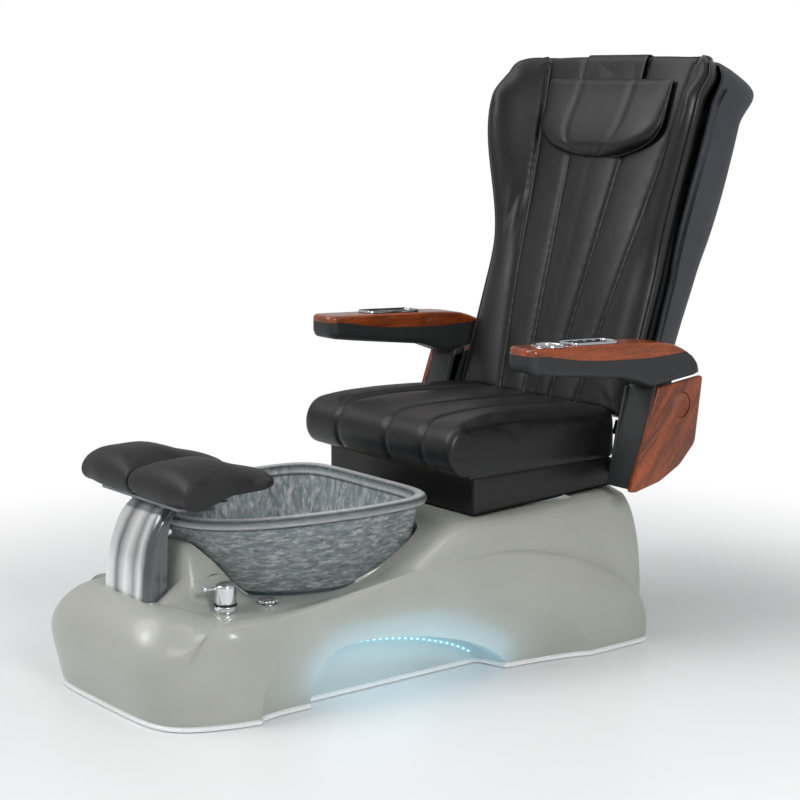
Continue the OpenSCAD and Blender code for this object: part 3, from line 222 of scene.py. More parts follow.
def cast_glass(name):
    """Thick pressed glass: ripples like old ice, whose pale and dark tone is painted highlight and painted
    shade, and a smooth rolled rim with painted highlight and shade lines.
    """
    body, white = chosen("glass"), (1, 1, 1, 1)
    made, tree, where = start_material(name)
    facing = add(tree, "ShaderNodeNewGeometry")
    reach = add(tree, "ShaderNodeVectorMath", {0: where, 1: BOWL_MIDDLE}, operation="SUBTRACT")
    level = add(tree, "ShaderNodeVectorMath", {0: (reach, "Vector"), 1: (5.0, 5.0, 0.0)},
                operation="MULTIPLY")
    outwards = add(tree, "ShaderNodeVectorMath", {0: (level, "Vector"), 1: (facing, "Normal")},
                   operation="DOT_PRODUCT")
    outer = add(tree, "ShaderNodeMapRange", {"Value": (outwards, "Value"), "From Min": -0.2,
                                             "From Max": 0.2})
    # Ripples lie level on the outside of the wall and run up and down its inside
    flat = add(tree, "ShaderNodeVectorMath", {0: where, 1: (0.7, 0.7, 2.4)}, operation="MULTIPLY")
    tall = add(tree, "ShaderNodeVectorMath", {0: where, 1: (1.5, 1.5, 0.45)}, operation="MULTIPLY")
    lay = (add(tree, "ShaderNodeMix", {0: (outer, "Result"), 4: (tall, "Vector"), 5: (flat, "Vector")},
               data_type="VECTOR"), 1)
    ripple = add(tree, "ShaderNodeTexNoise", {"Vector": lay, "Scale": 52.0, "Detail": 7.0,
                                              "Roughness": 0.74, "Distortion": 0.5})
    fine = add(tree, "ShaderNodeTexNoise", {"Vector": lay, "Scale": 120.0, "Detail": 3.0, "Roughness": 0.6})
    first = add(tree, "ShaderNodeBump", {"Height": (ripple, "Fac"), "Strength": 1.0, "Distance": 0.02})
    bump = add(tree, "ShaderNodeBump", {"Height": (fine, "Fac"), "Strength": 0.7, "Distance": 0.002,
                                        "Normal": (first, "Normal")})
    # Painted light: the ripples' tone runs from near-black painted shade to white painted highlights.
    tone = add(tree, "ShaderNodeValToRGB", {"Fac": (ripple, "Fac")}, [
        (0.28, shade(body, 0.16)), (0.38, shade(body, 0.52)), (0.50, shade(body, 0.76)), (0.62, white),
        (0.70, shade(body, 0.7))])
    # The rolled rim is smooth: painted shade as a dark line where it leaves the wall, then painted highlights
    # and dark painted reflections along its round
    parts = add(tree, "ShaderNodeSeparateXYZ", {"Vector": where})
    roll = add(tree, "ShaderNodeMapRange", {"Value": (parts, "Z"), "From Min": 0.362, "From Max": 0.392})
    line = add(tree, "ShaderNodeValToRGB", {"Fac": (roll, "Result")}, [
        (0.0, shade(body, 0.5)), (0.12, shade(body, 0.04)), (0.22, shade(body, 0.30)), (0.34, white),
        (0.60, shade(body, 0.60)), (0.78, shade(body, 0.06)), (0.86, shade(body, 0.40)), (0.95, white)])
    painted_rim_lines = add(tree, "ShaderNodeMapRange", {"Value": (roll, "Result"), "From Min": 0.02, "From Max": 0.14,
                                              "To Max": 0.85})
    both = add(tree, "ShaderNodeMix", {0: (painted_rim_lines, "Result"), 6: (tone, "Color"), 7: (line, "Color")},
               data_type="RGBA")
    return finish_material(made, {
        "Base Color": (both, 2), "Roughness": 0.05, "Normal": (bump, "Normal"), "IOR": 1.5,
        "Transmission Weight": 0.16})


def lit(name, colour, strength):
    """A milky cover over diodes, bright all over."""
    made, tree, where = start_material(name)
    dots = add(tree, "ShaderNodeTexNoise", {"Vector": where, "Scale": 60.0})
    tone = (add(tree, "ShaderNodeValToRGB", {"Fac": (dots, "Fac")},
                [(0.3, shade(colour, 0.9)), (0.7, colour)]), "Color")
    return finish_material(made, {"Base Color": tone, "Emission Color": tone, "Roughness": 0.3,
                                  "Emission Strength": strength})


def zinc_sheet(name, colour, rough):
    """Drawn and plated steel: fine scratches one way, which pull the highlights out."""
    made, tree, where = start_material(name)
    lay = add(tree, "ShaderNodeMapping", {"Vector": where, "Scale": (1, 1, 0.04)})
    lines = add(tree, "ShaderNodeTexNoise", {"Vector": (lay, "Vector"), "Scale": 700.0, "Detail": 2.0})
    wave = add(tree, "ShaderNodeTexNoise", {"Vector": where, "Scale": 14.0, "Detail": 1.0})
    gloss = add(tree, "ShaderNodeMapRange", {"Value": (lines, "Fac"), "From Min": 0.3, "From Max": 0.7,
                                             "To Min": rough - 0.05, "To Max": rough + 0.07})
    dents = add(tree, "ShaderNodeBump", {"Height": (wave, "Fac"), "Strength": 0.25, "Distance": 0.004})
    bump = add(tree, "ShaderNodeBump", {"Height": (lines, "Fac"), "Strength": 0.04, "Distance": 0.0002,
                                        "Normal": (dents, "Normal")})
    tone = add(tree, "ShaderNodeValToRGB", {"Fac": (wave, "Fac")},
               [(0.3, shade(colour, 0.93)), (0.7, shade(colour, 1.05))])
    return finish_material(made, {
        "Base Color": (tone, "Color"), "Roughness": (gloss, "Result"), "Normal": (bump, "Normal"),
        "Metallic": 1.0})


def mirror_sheet(name):
    """Mirror-polished stainless: a painted reflection of the room, as dark and bright bands along the bend.
    """
    made, tree, where = start_material(name)
    parts = add(tree, "ShaderNodeSeparateXYZ", {"Vector": where})
    across = add(tree, "ShaderNodeMapRange", {"Value": (parts, "X"), "From Min": -0.088,
                                              "From Max": 0.088})
    wave = add(tree, "ShaderNodeTexNoise", {"Vector": where, "Scale": 11.0, "Detail": 2.0})
    moved = add(tree, "ShaderNodeMath", {0: (wave, "Fac"), 1: 0.14, 2: (across, "Result")},
                operation="MULTIPLY_ADD")
    # Painted reflection: the grey and white bands are the room's reflection painted into the base colour.
    painted_reflection_bands = ((0.05, "#9A9C9E"), (0.13, "#FFFFFF"), (0.30, "#E9EBEC"), (0.40, "#85878A"), (0.47, "#C4C6C8"),
             (0.58, "#FFFFFF"), (0.74, "#A4A6A8"), (0.86, "#F6F7F8"), (0.98, "#6B6D6F"))
    tone = add(tree, "ShaderNodeValToRGB", {"Fac": (moved, "Value")},
               [(place, to_linear(code)) for place, code in painted_reflection_bands])
    scratch = add(tree, "ShaderNodeTexNoise", {"Vector": where, "Scale": 500.0, "Detail": 2.0})
    bump = add(tree, "ShaderNodeBump", {"Height": (scratch, "Fac"), "Strength": 0.03, "Distance": 0.0002})
    return finish_material(made, {
        "Base Color": (tone, "Color"), "Roughness": 0.2, "Normal": (bump, "Normal"), "Metallic": 0.8})


RECIPES = {
    # Even satin grey with soft, wide highlights
    "Gel-coat, satin grey": gel_coat,
    "Pressed glass, rippled": cast_glass,
    # Black with a soft sheen, broken up by pebbles about 2 mm wide
    "Leather, black coated": lambda n: leather(n, chosen("leather"), 2.0, 0.37, 0.42),
    "Leather, blue-grey side": lambda n: leather(n, chosen("side_leather"), 2.0, 0.44, 0.40),
    "Leather piping": lambda n: leather(n, chosen("leather"), 1.6, 0.34, 0.5),
    # Duller than the leather, with a coarser grain
    "Vinyl, dark grey pad": lambda n: leather(n, chosen("pad_vinyl"), 2.6, 0.50, 0.36),
    "Thread, black": lambda n: plain(n, to_linear("#090909"), 0.75, texture=0.6, size=0.8, specular=0.2),
    "Zip teeth, nylon": lambda n: plain(n, to_linear("#1A1B1D"), 0.35, texture=0.1),
    # Red-brown under lacquer, with the grain along the armrest or slanting over the side panel
    "Walnut veneer, lengthwise": lambda n: veneer(n, (0.0, 0.0, 0.0)),
    "Walnut veneer, slanting": lambda n: veneer(n, (math.radians(-52), 0.0, 0.0)),
    "Birch plywood": lambda n: veneer(n, (0.0, 0.0, 0.0), 0.6),
    # Matte black with a fine leather-like texture from its mould
    "Integral foam, matte black": lambda n: plain(n, chosen("arm_black"), 0.48, texture=0.5, size=1.6,
                                                  specular=0.4),
    "Stainless sheet, polished": mirror_sheet,
    # A bright mirror, nearly white
    "Chromed brass": lambda n: plain(n, to_linear("#DADCDE"), 0.07, metallic=1.0, vary=0.03),
    # Clean white with a small sharp highlight
    "ABS, gloss white": lambda n: plain(n, to_linear("#E9ECEC"), 0.22, vary=0.03, coat=0.3),
    "ABS, dark grey": lambda n: plain(n, to_linear("#46494C"), 0.45, texture=0.4),
    "Nitrile rubber": lambda n: plain(n, to_linear("#161718"), 0.7, texture=0.3),
    "PVC pipe, white": lambda n: plain(n, to_linear("#DEE0E0"), 0.35),
    "Key film, gloss black": lambda n: plain(n, to_linear("#101113"), 0.12, coat=0.6),
    # The metals of the frame and the plumbing, dull and a little uneven
    "Steel, zinc plated": lambda n: zinc_sheet(n, to_linear("#A9ADB0"), 0.32),
    "Steel, black powder coat": lambda n: plain(n, to_linear("#303436"), 0.55, texture=0.5, size=0.9),
    "Steel, grey paint": lambda n: plain(n, to_linear("#86898C"), 0.42, texture=0.2),
    "Brass, cast": lambda n: plain(n, to_linear("#B08D57"), 0.35, metallic=1.0, texture=0.3),
    "Copper tube": lambda n: plain(n, to_linear("#B87345"), 0.28, metallic=1.0),
    # Pale cyan light: the diodes bright, the tape behind them dim
    "Light cover, milky": lambda n: lit(n, to_linear("#D9F3FB"), 1.2),
    "Light tape": lambda n: lit(n, to_linear("#9FD3E2"), 0.4),
}


# ---- number helpers ----
def ramp(t, a, b):
    s = np.clip((np.asarray(t, float) - a) / (b - a), 0, 1)
    return s * s * (3 - 2 * s)


def lerp(a, b, t):
    return a + (b - a) * t


def rounding(u, v, n):
    return (np.abs(u) ** n + np.abs(v) ** n) ** (-1 / n)


def sizes():
    """The user's sizes, in millimetres."""
    group = bpy.context.scene.spa_sizes
    return {key: getattr(group, key) / MM for key in group.__annotations__}


def dense_walk(count=1600):
    """Points round a square from -1 to 1, evenly spaced."""
    t = np.arange(count) / count * 4
    side, f = np.floor(t).astype(int), (t % 1) * 2 - 1
    u = np.choose(side, [f, np.ones_like(f), -f, -np.ones_like(f)])
    v = np.choose(side, [-np.ones_like(f), f, np.ones_like(f), -f])
    return u, v


def spread_walk(count, shape, extra=None):
    """A walk round the square whose points spread evenly on shape(u, v), closer at its corners."""
    u, v = dense_walk()
    p = shape(u, v)
    d = np.roll(p, -1, 0) - p
    length = np.linalg.norm(d, axis=1)
    heading = np.unwrap(np.arctan2(d[:, 1], d[:, 0]))
    turn = np.abs(np.diff(np.append(heading, heading[0] + 2 * np.pi * np.sign(heading[-1] - heading[0]))))
    cost = length + 60 * np.roll(turn, 1)
    if extra is not None:
        cost = cost * extra(p)
    total = np.concatenate([[0], np.cumsum(cost)])
    at = np.interp(np.arange(count) / count * total[-1], total, np.arange(len(u) + 1))
    i = np.floor(at).astype(int) % len(u)
    f = at - np.floor(at)
    j = (i + 1) % len(u)
    return lerp(u[i], u[j], f), lerp(v[i], v[j], f)


def smooth_rows(rows, steps):
    """Adds rows between the given ones on a smooth line that never overshoots them."""
    rows = np.asarray(rows, float)
    d = np.diff(rows, axis=0)
    before, after = np.concatenate([d[:1], d]), np.concatenate([d, d[-1:]])
    both = before * after
    slope = np.where(both > 0, 2 * both / np.where(np.abs(before + after) < 1e-9, 1, before + after), 0)
    out = []
    for i in range(len(d)):
        for t in np.arange(steps) / steps:
            a, b = 2 * t**3 - 3 * t**2 + 1, t**3 - 2 * t**2 + t
            c, e = -2 * t**3 + 3 * t**2, t**3 - t**2
            out.append(a * rows[i] + b * slope[i] + c * rows[i + 1] + e * slope[i + 1])
    out.append(rows[-1])
    return np.array(out)


def curve_through(points, count):
    """Evenly spaced points on a smooth curve through the given ones."""
    p = np.asarray(points, float)
    ends = np.concatenate([[2 * p[0] - p[1]], p, [2 * p[-1] - p[-2]]])
    fine = []
    for i in range(len(p) - 1):
        a, b, c, d = ends[i:i + 4]
        for t in np.arange(24) / 24:
            fine.append(0.5 * (2 * b + (c - a) * t + (2 * a - 5 * b + 4 * c - d) * t**2
                               + (3 * b - a - 3 * c + d) * t**3))
    fine = np.array(fine + [p[-1]])
    along = np.concatenate([[0], np.cumsum(np.linalg.norm(np.diff(fine, axis=0), axis=1))])
    want = np.linspace(0, along[-1], count)
    return np.stack([np.interp(want, along, fine[:, k]) for k in range(fine.shape[1])], 1)


def from_back(p):
    """From the backrest's own frame (x, rearwards, up its length) to the chair's."""
    p = np.asarray(p, float)
    y, z = p[..., 1], p[..., 2]
    return np.stack([p[..., 0], HINGE[0] + y * math.cos(LEAN) + z * math.sin(LEAN),
                     HINGE[1] - y * math.sin(LEAN) + z * math.cos(LEAN)], -1)


def to_back(p):
    """From the chair's frame to the backrest's own."""
    y, z = p[:, 1] - HINGE[0], p[:, 2] - HINGE[1]
    return np.column_stack([p[:, 0], y * math.cos(LEAN) - z * math.sin(LEAN),
                            y * math.sin(LEAN) + z * math.cos(LEAN)])


def at_height(outline, z):
    """A flat (x, y) outline as a ring of points at a height."""
    return np.column_stack([outline, np.full(len(outline), z)])


def seam_sink(channel, d, share, width, waves, spread):
    """How deep the leather lies at a distance d from a seam: a narrow crease in a wide hollow, and
    the small puckers that the thread pulls."""
    crease = share * np.exp(-(d / width) ** 1.4) + 0.3 * np.exp(-(d / 13) ** 2)
    return channel * crease + waves * np.exp(-(d / spread) ** 2)


# ---- mesh helpers ----
def loft(rings, closed=False, cap_rings=0, flat_ends=False):
    """Points and faces through rings of points; open ends close to a pole, or with one flat face."""
    rings = np.asarray(rings, float)
    if not closed and cap_rings:
        def cap(ring):
            centre = ring.mean(0)
            return [lerp(ring, centre, (k + 1) / (cap_rings + 1)) for k in range(cap_rings)]
        rings = np.array(cap(rings[0])[::-1] + list(rings) + cap(rings[-1]))
    rows, cols = rings.shape[:2]
    i, j = np.arange(rows if closed else rows - 1)[:, None], np.arange(cols)[None, :]
    k, n = (j + 1) % cols, (i + 1) % rows
    faces = np.stack([i * cols + j, i * cols + k, n * cols + k, n * cols + j], -1).reshape(-1, 4).tolist()
    points = rings.reshape(-1, 3)
    if flat_ends:
        faces += [list(range(cols))[::-1], list(range((rows - 1) * cols, rows * cols))]
    elif not closed:
        first, last = len(points), len(points) + 1
        e = (rows - 1) * cols
        faces += [[first, (c + 1) % cols, c] for c in range(cols)]
        faces += [[last, e + c, e + (c + 1) % cols] for c in range(cols)]
        points = np.concatenate([points, [rings[0].mean(0), rings[-1].mean(0)]])
    return points, faces


def on_back(solid):
    """A solid made in the backrest's own frame, in the chair's."""
    return from_back(solid[0]), solid[1]


def join_solids(*solids):
    points, faces, start = [], [], 0
    for p, f in solids:
        points.append(np.asarray(p))
        faces += [[k + start for k in face] for face in f]
        start += len(p)
    return np.concatenate(points), faces


def tidy_mesh(mesh, sharp):
    """Merges doubles, turns every face outwards and keeps edges sharp past an angle."""
    work = bmesh.new()
    work.from_mesh(mesh)
    bmesh.ops.remove_doubles(work, verts=work.verts, dist=2e-5)
    bmesh.ops.dissolve_degenerate(work, edges=work.edges, dist=1e-6)
    bmesh.ops.recalc_face_normals(work, faces=work.faces)
    work.to_mesh(mesh)
    work.free()
    mesh.polygons.foreach_set("use_smooth", [True] * len(mesh.polygons))
    mesh.set_sharp_from_angle(angle=math.radians(sharp))


def make(name, solid, finish, sharp=38.0):
    """A mesh object from points and faces in the chair's millimetres."""
    points, faces = solid
    mesh = bpy.data.meshes.new(name)
    mesh.from_pydata(((np.asarray(points) - (0, ORIGIN_Y, 0)) * MM).tolist(), [], faces)
    tidy_mesh(mesh, sharp)
    piece = bpy.data.objects.new(name, mesh)
    bpy.context.scene.collection.objects.link(piece)
    mesh.materials.append(material(finish))
    return piece


def fit(name, solid, finish, body, slot, *nodes, sharp=38.0):
    """Makes a piece and settles it."""
    return settle(make(name, solid, finish, sharp), body, slot, *nodes)


def body_of(node_name):
    """The body that carries a node."""
    bodies = frame["record"]["behaviour"]["bodies"]
    return next(body for body, nodes in bodies.items() if node_name in nodes)


def settle(piece, body, slot, *nodes):
    """Puts a finished piece on its body and hides the nodes that it stands for; the slot is not used."""
    if nodes:
        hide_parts(*nodes)
    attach(piece, body)
    return piece


def evaluated(piece, name=None):
    """The piece's mesh with its modifiers applied; the modifiers are removed."""
    bpy.context.view_layer.update()
    graph = bpy.context.evaluated_depsgraph_get()
    mesh = bpy.data.meshes.new_from_object(piece.evaluated_get(graph), depsgraph=graph)
    piece.modifiers.clear()
    if name:
        mesh.name = name
    return mesh


def subdivide(piece):
    made = piece.modifiers.new("round", "SUBSURF")
    made.levels = made.render_levels = 1
    piece.data = evaluated(piece)
    piece.data.polygons.foreach_set("use_smooth", [True] * len(piece.data.polygons))


def coordinates(mesh, kind="co"):
    out = np.empty(len(mesh.vertices) * 3)
    mesh.vertices.foreach_get(kind, out)
    return out.reshape(-1, 3)


def places(piece):
    """A piece's points in the chair's millimetres."""
    return coordinates(piece.data) / MM + (0, ORIGIN_Y, 0)


def sink(piece, depth):
    """Moves each point of a piece inwards by its own depth, in millimetres."""
    p = places(piece) - coordinates(piece.data, "normal") * depth[:, None]
    piece.data.vertices.foreach_set("co", ((p - (0, ORIGIN_Y, 0)) * MM).ravel())
    piece.data.update()


def swell(piece, held, cap, pressure=4.0):
    """Blows a sewn cover up: twenty steps of cloth under air pressure. held says how firmly each
    point is sewn down, and no point moves further than cap millimetres."""
    group = piece.vertex_groups.new(name="sewn")
    for i, w in enumerate(held):
        if w > 0.01:
            group.add([i], float(min(1, w)), "REPLACE")
    cloth = piece.modifiers.new("air", "CLOTH")
    look = cloth.settings
    look.quality = 5
    look.mass = 0.25
    look.tension_stiffness = look.compression_stiffness = 12
    look.shear_stiffness = 6
    look.bending_stiffness = 0.6
    look.use_pressure = True
    look.uniform_pressure_force = pressure
    look.effector_weights.gravity = 0
    look.vertex_group_mass = "sewn"
    cloth.collision_settings.use_collision = False
    cloth.point_cache.frame_start, cloth.point_cache.frame_end = 1, 20
    start = coordinates(piece.data)
    for step in range(1, 21):
        bpy.context.scene.frame_set(step)
    graph = bpy.context.evaluated_depsgraph_get()
    moved = coordinates(piece.evaluated_get(graph).data) - start
    piece.modifiers.clear()
    piece.vertex_groups.clear()
    far = np.linalg.norm(moved, axis=1, keepdims=True)
    limit = cap * MM * np.tanh(far / (cap * MM))
    moved *= limit / np.maximum(far, 1e-9)
    moved[~np.isfinite(moved)] = 0
    piece.data.vertices.foreach_set("co", (start + moved).ravel())
    piece.data.update()
    bpy.context.scene.frame_set(1)


# ---- geometry node trees ----
def new_tree(name, inputs):
    tree = bpy.data.node_groups.new(name, "GeometryNodeTree")
    tree.interface.new_socket("Geometry", in_out="INPUT", socket_type="NodeSocketGeometry")
    for label, kind, value in inputs:
        made = tree.interface.new_socket(label, in_out="INPUT", socket_type="NodeSocket" + kind)
        if value is not None:
            made.default_value = value
    tree.interface.new_socket("Geometry", in_out="OUTPUT", socket_type="NodeSocketGeometry")
    return tree, add(tree, "NodeGroupInput")


def close_tree(tree, start, last):
    """Every tree ends in Realize Instances and Set Material."""
    plain_mesh = add(tree, "GeometryNodeRealizeInstances", {"Geometry": last})
    painted = add(tree, "GeometryNodeSetMaterial", {"Geometry": (plain_mesh, "Geometry"),
                                                    "Material": (start, "Material")})
    add(tree, "NodeGroupOutput", {"Geometry": (painted, "Geometry")})
    return tree


def piping_tree():
    """A round cord swept along a line."""
    tree, start = new_tree("Swept piping", [("Radius", "Float", 0.003), ("Sides", "Int", 10),
                                            ("Material", "Material", None)])
    line = add(tree, "GeometryNodeMeshToCurve", {"Mesh": (start, "Geometry")})
    round_ = add(tree, "GeometryNodeCurvePrimitiveCircle", {"Resolution": (start, "Sides"),
                                                            "Radius": (start, "Radius")})
    swept = add(tree, "GeometryNodeCurveToMesh", {
        "Curve": (line, "Curve"), "Profile Curve": (round_, "Curve"), "Fill Caps": True})
    return close_tree(tree, start, (swept, "Mesh"))


def row_tree():
    """Copies of a small part along a line, at a set spacing, each turned to the line and its side."""
    tree, start = new_tree("Row of parts", [("Part", "Object", None), ("Spacing", "Float", 0.003),
                                            ("Size", "Float", 1.0), ("Material", "Material", None)])
    line = add(tree, "GeometryNodeMeshToCurve", {"Mesh": (start, "Geometry")})
    even = add(tree, "GeometryNodeResampleCurve", {"Curve": (line, "Curve"), "Length": (start, "Spacing")},
               mode="LENGTH")
    part = add(tree, "GeometryNodeObjectInfo", {"Object": (start, "Part")})
    tangent = add(tree, "GeometryNodeInputTangent")
    across = add(tree, "GeometryNodeInputNamedAttribute", {"Name": "across"}, data_type="FLOAT_VECTOR")
    first = add(tree, "FunctionNodeAlignRotationToVector", {"Vector": (tangent, "Tangent")}, axis="Z")
    second = add(tree, "FunctionNodeAlignRotationToVector", {
        "Rotation": (first, "Rotation"), "Vector": (across, "Attribute")}, axis="X", pivot_axis="Z")
    copies = add(tree, "GeometryNodeInstanceOnPoints", {
        "Points": (even, "Curve"), "Instance": (part, "Geometry"), "Rotation": (second, "Rotation"),
        "Scale": (start, "Size")})
    return close_tree(tree, start, (copies, "Instances"))


def grow(name, line, tree, values, across=None, closed=False):
    """Runs a tree on a line of points and returns a plain mesh object."""
    mesh = bpy.data.meshes.new(name)
    points = (np.asarray(line) - (0, ORIGIN_Y, 0)) * MM
    count = len(points)
    edges = [(i, i + 1) for i in range(count - 1)] + ([(count - 1, 0)] if closed else [])
    mesh.from_pydata(points.tolist(), edges, [])
    if across is not None:
        mark = mesh.attributes.new("across", "FLOAT_VECTOR", "POINT")
        mark.data.foreach_set("vector", np.asarray(across, np.float32).ravel())
    host = bpy.data.objects.new(name + "_line", mesh)
    bpy.context.scene.collection.objects.link(host)
    modifier = host.modifiers.new(tree.name, "NODES")
    modifier.node_group = tree
    for item in tree.interface.items_tree:
        if item.item_type == "SOCKET" and item.in_out == "INPUT" and item.name in values:
            modifier[item.identifier] = values[item.name]
    done = evaluated(host, name)
    bpy.data.objects.remove(host)
    if not len(done.polygons):
        raise RuntimeError(f"{name}: the node tree made no faces")
    piece = bpy.data.objects.new(name, done)
    bpy.context.scene.collection.objects.link(piece)
    if not len(done.materials):
        done.materials.append(values["Material"])
    done.polygons.foreach_set("use_smooth", [True] * len(done.polygons))
    done.set_sharp_from_angle(angle=math.radians(50))
    return piece


TREES = {}


def tree_of(kind):
    if kind not in TREES:
        TREES[kind] = {"piping": piping_tree, "row": row_tree}[kind]()
    return TREES[kind]


def cord_line(name, line, radius, finish, closed=False, sides=10):
    return grow(name, line, tree_of("piping"), {"Radius": radius * MM, "Sides": sides,
                                                "Material": material(finish)}, closed=closed)


def row_of(name, line, part, spacing, finish, across):
    return grow(name, line, tree_of("row"), {"Part": part, "Spacing": spacing * MM, "Size": 1.0,
                                             "Material": material(finish)}, across)


def small_box(name, w, d, h):
    """A bevelled block about its own middle, in millimetres, for a tree to copy."""
    mesh = bpy.data.meshes.new(name)
    work = bmesh.new()
    bmesh.ops.create_cube(work, size=1.0)
    bmesh.ops.scale(work, verts=work.verts, vec=(w * MM, d * MM, h * MM))
    bmesh.ops.bevel(work, geom=list(work.edges), offset=min(w, d, h) * 0.25 * MM, segments=1,
                    affect="EDGES")
    work.to_mesh(mesh)
    work.free()
    part = bpy.data.objects.new(name, mesh)
    bpy.context.scene.collection.objects.link(part)
    return part


def joined(name, pieces):
    """Several plain mesh objects as one."""
    target = pieces[0]
    work = bmesh.new()
    finishes = []
    for piece in pieces:
        for m in piece.data.materials:
            if m not in finishes:
                finishes.append(m)
    for piece in pieces:
        start = len(work.faces)
        order = [finishes.index(m) for m in piece.data.materials]
        work.from_mesh(piece.data)
        work.faces.ensure_lookup_table()
        for face in work.faces[start:]:
            face.material_index = order[face.material_index] if order else 0
    mesh = bpy.data.meshes.new(name)
    work.to_mesh(mesh)
    work.free()
    for m in finishes:
        mesh.materials.append(m)
    for piece in pieces[1:]:
        bpy.data.objects.remove(piece)
    target.data, target.name = mesh, name
    return target


# ---- shapes shared by the moulding and the bowl ----
def arch_share(y, middle, ahead_by, behind_by, power):
    """An arch's height from 0 to 1: steep ahead of its middle and drawn out behind it."""
    ahead, behind = np.clip((middle - y) / ahead_by, 0, 1), np.clip((y - middle) / behind_by, 0, 1)
    return np.where(y < middle, (1 - ahead**2.7) ** (1 / 2.7), (1 - behind**power) ** (1 / power))


def pocket_z(y):
    """Height of the upper edge of the lit pocket in the recess."""
    return 128 * arch_share(y, -330, 110, 380, 1.7)


def base_outline(u, v, front, rear, n_front, n_rear):
    middle = (rear - front) / 2
    s = rounding(u, v, np.where(v < 0, n_front, n_rear))
    return u * s, middle + v * s * np.where(v < 0, middle + front, rear - middle)


def base_forms(S):
    """The moulding's shape functions."""
    front, rear = S["base_front"], S["base_rear"]
    fender, deck, platform, collar = (S[key + "_height"] for key in ("fender", "deck", "platform", "collar"))
    trim, skirt = 12.0, 104.0

    def foot(u, v):
        x, y = base_outline(u, v, front, rear, 5.5, 36)
        return np.stack([x * lerp(294, 358, np.clip((y + 650) / 893, 0, 1)), y, 0 * y], -1)

    def crest_z(y):
        return (lerp(skirt, deck, ramp(y, -745, -630)) + (fender - deck) * ramp(y, -540, -130)
                - fender * (1 - np.sqrt(1 - np.clip(y / (rear + 19), 0, 1) ** 1.9)))

    def crest(u, v):
        x, y = base_outline(u, v, front + 29, rear, 7, 36)
        half = lerp(247, 321, ramp(y, -600, -180)) + 14 * ramp(y, 300, 430)
        return np.stack([x * half, y, crest_z(y)], -1)

    def arch(y):
        return S["arch_height"] * arch_share(y, -260, 312, 518, 2)

    def fender_at(f, c, z):
        h = z / c[:, 2]
        t = np.clip((h - 0.35) / 0.65, 0, 1)
        s = lerp(h, 1 - (1 - t**2.5) ** 0.4, ramp(f[:, 1], -700, -600))[:, None]
        p = lerp(f, c, s)
        p[:, 2] = z
        return p

    def coved(p, za):
        q = p.copy()
        q[:, 0] -= np.sign(p[:, 0]) * 0.24 * np.maximum(0, za - p[:, 2])
        return q

    def pocketed(p, za, y):
        q = coved(p, za)
        deep = np.maximum(0, np.abs(q[:, 0]) - RECESS_X) * ramp(pocket_z(y), 4, 40)
        q[:, 0] -= np.sign(q[:, 0]) * deep
        return q

    def deck_z(x, y):
        slope = platform + np.maximum(-40, y) * PLATFORM_SLOPE
        return (deck + (slope - deck) * ramp(y, -345, -40) + 20 * ramp(-y, 612, 690)
                + (collar - deck) * ramp(y, -655, -608) * ramp(-y, 470, 560) * ramp(-np.abs(x), -150, -62))

    def top(u, v):
        x, y = base_outline(u, v, front - 45, rear - 30, 5, 16)
        x = x * (lerp(lerp(192, 218, ramp(y, -700, -600)), 263, ramp(y, -340, -90)) + 18 * ramp(y, 250, 400))
        return np.stack([x, y, deck_z(x, y)], -1)

    floor_z, lip_z = deck - 1, S["rim_height"] - 24
    rim_mid, rim_long, rim_half = -(632 + 70) / 2, (632 - 70) / 2, 248.0

    def bowl(u, v, t, grow=0.0):
        n = np.where(v < 0, lerp(2.8, 3, t), lerp(7, 6, t))
        s = rounding(u, v, n)
        e = lerp(0.16 * (1 - (1 - np.clip(t / 0.16, 0, 1)) ** 2), 1, t)
        long, wide = lerp(180, rim_long - 14, e) + grow, lerp(186, rim_half - 14, e) + grow
        taper = 1 - 0.19 * np.clip((0.2 - v * s) / 1.2, 0, 1)
        return u * s * wide * taper, lerp(DRAIN_Y, rim_mid, e) + v * s * long

    def bowl_z(t):
        return lerp(floor_z, lip_z, t)

    return dict(foot=foot, crest=crest, arch=arch, fender=fender_at, coved=coved, pocketed=pocketed,
                deck_z=deck_z, top=top, bowl=bowl, bowl_z=bowl_z, floor_z=floor_z, lip_z=lip_z, trim=trim)


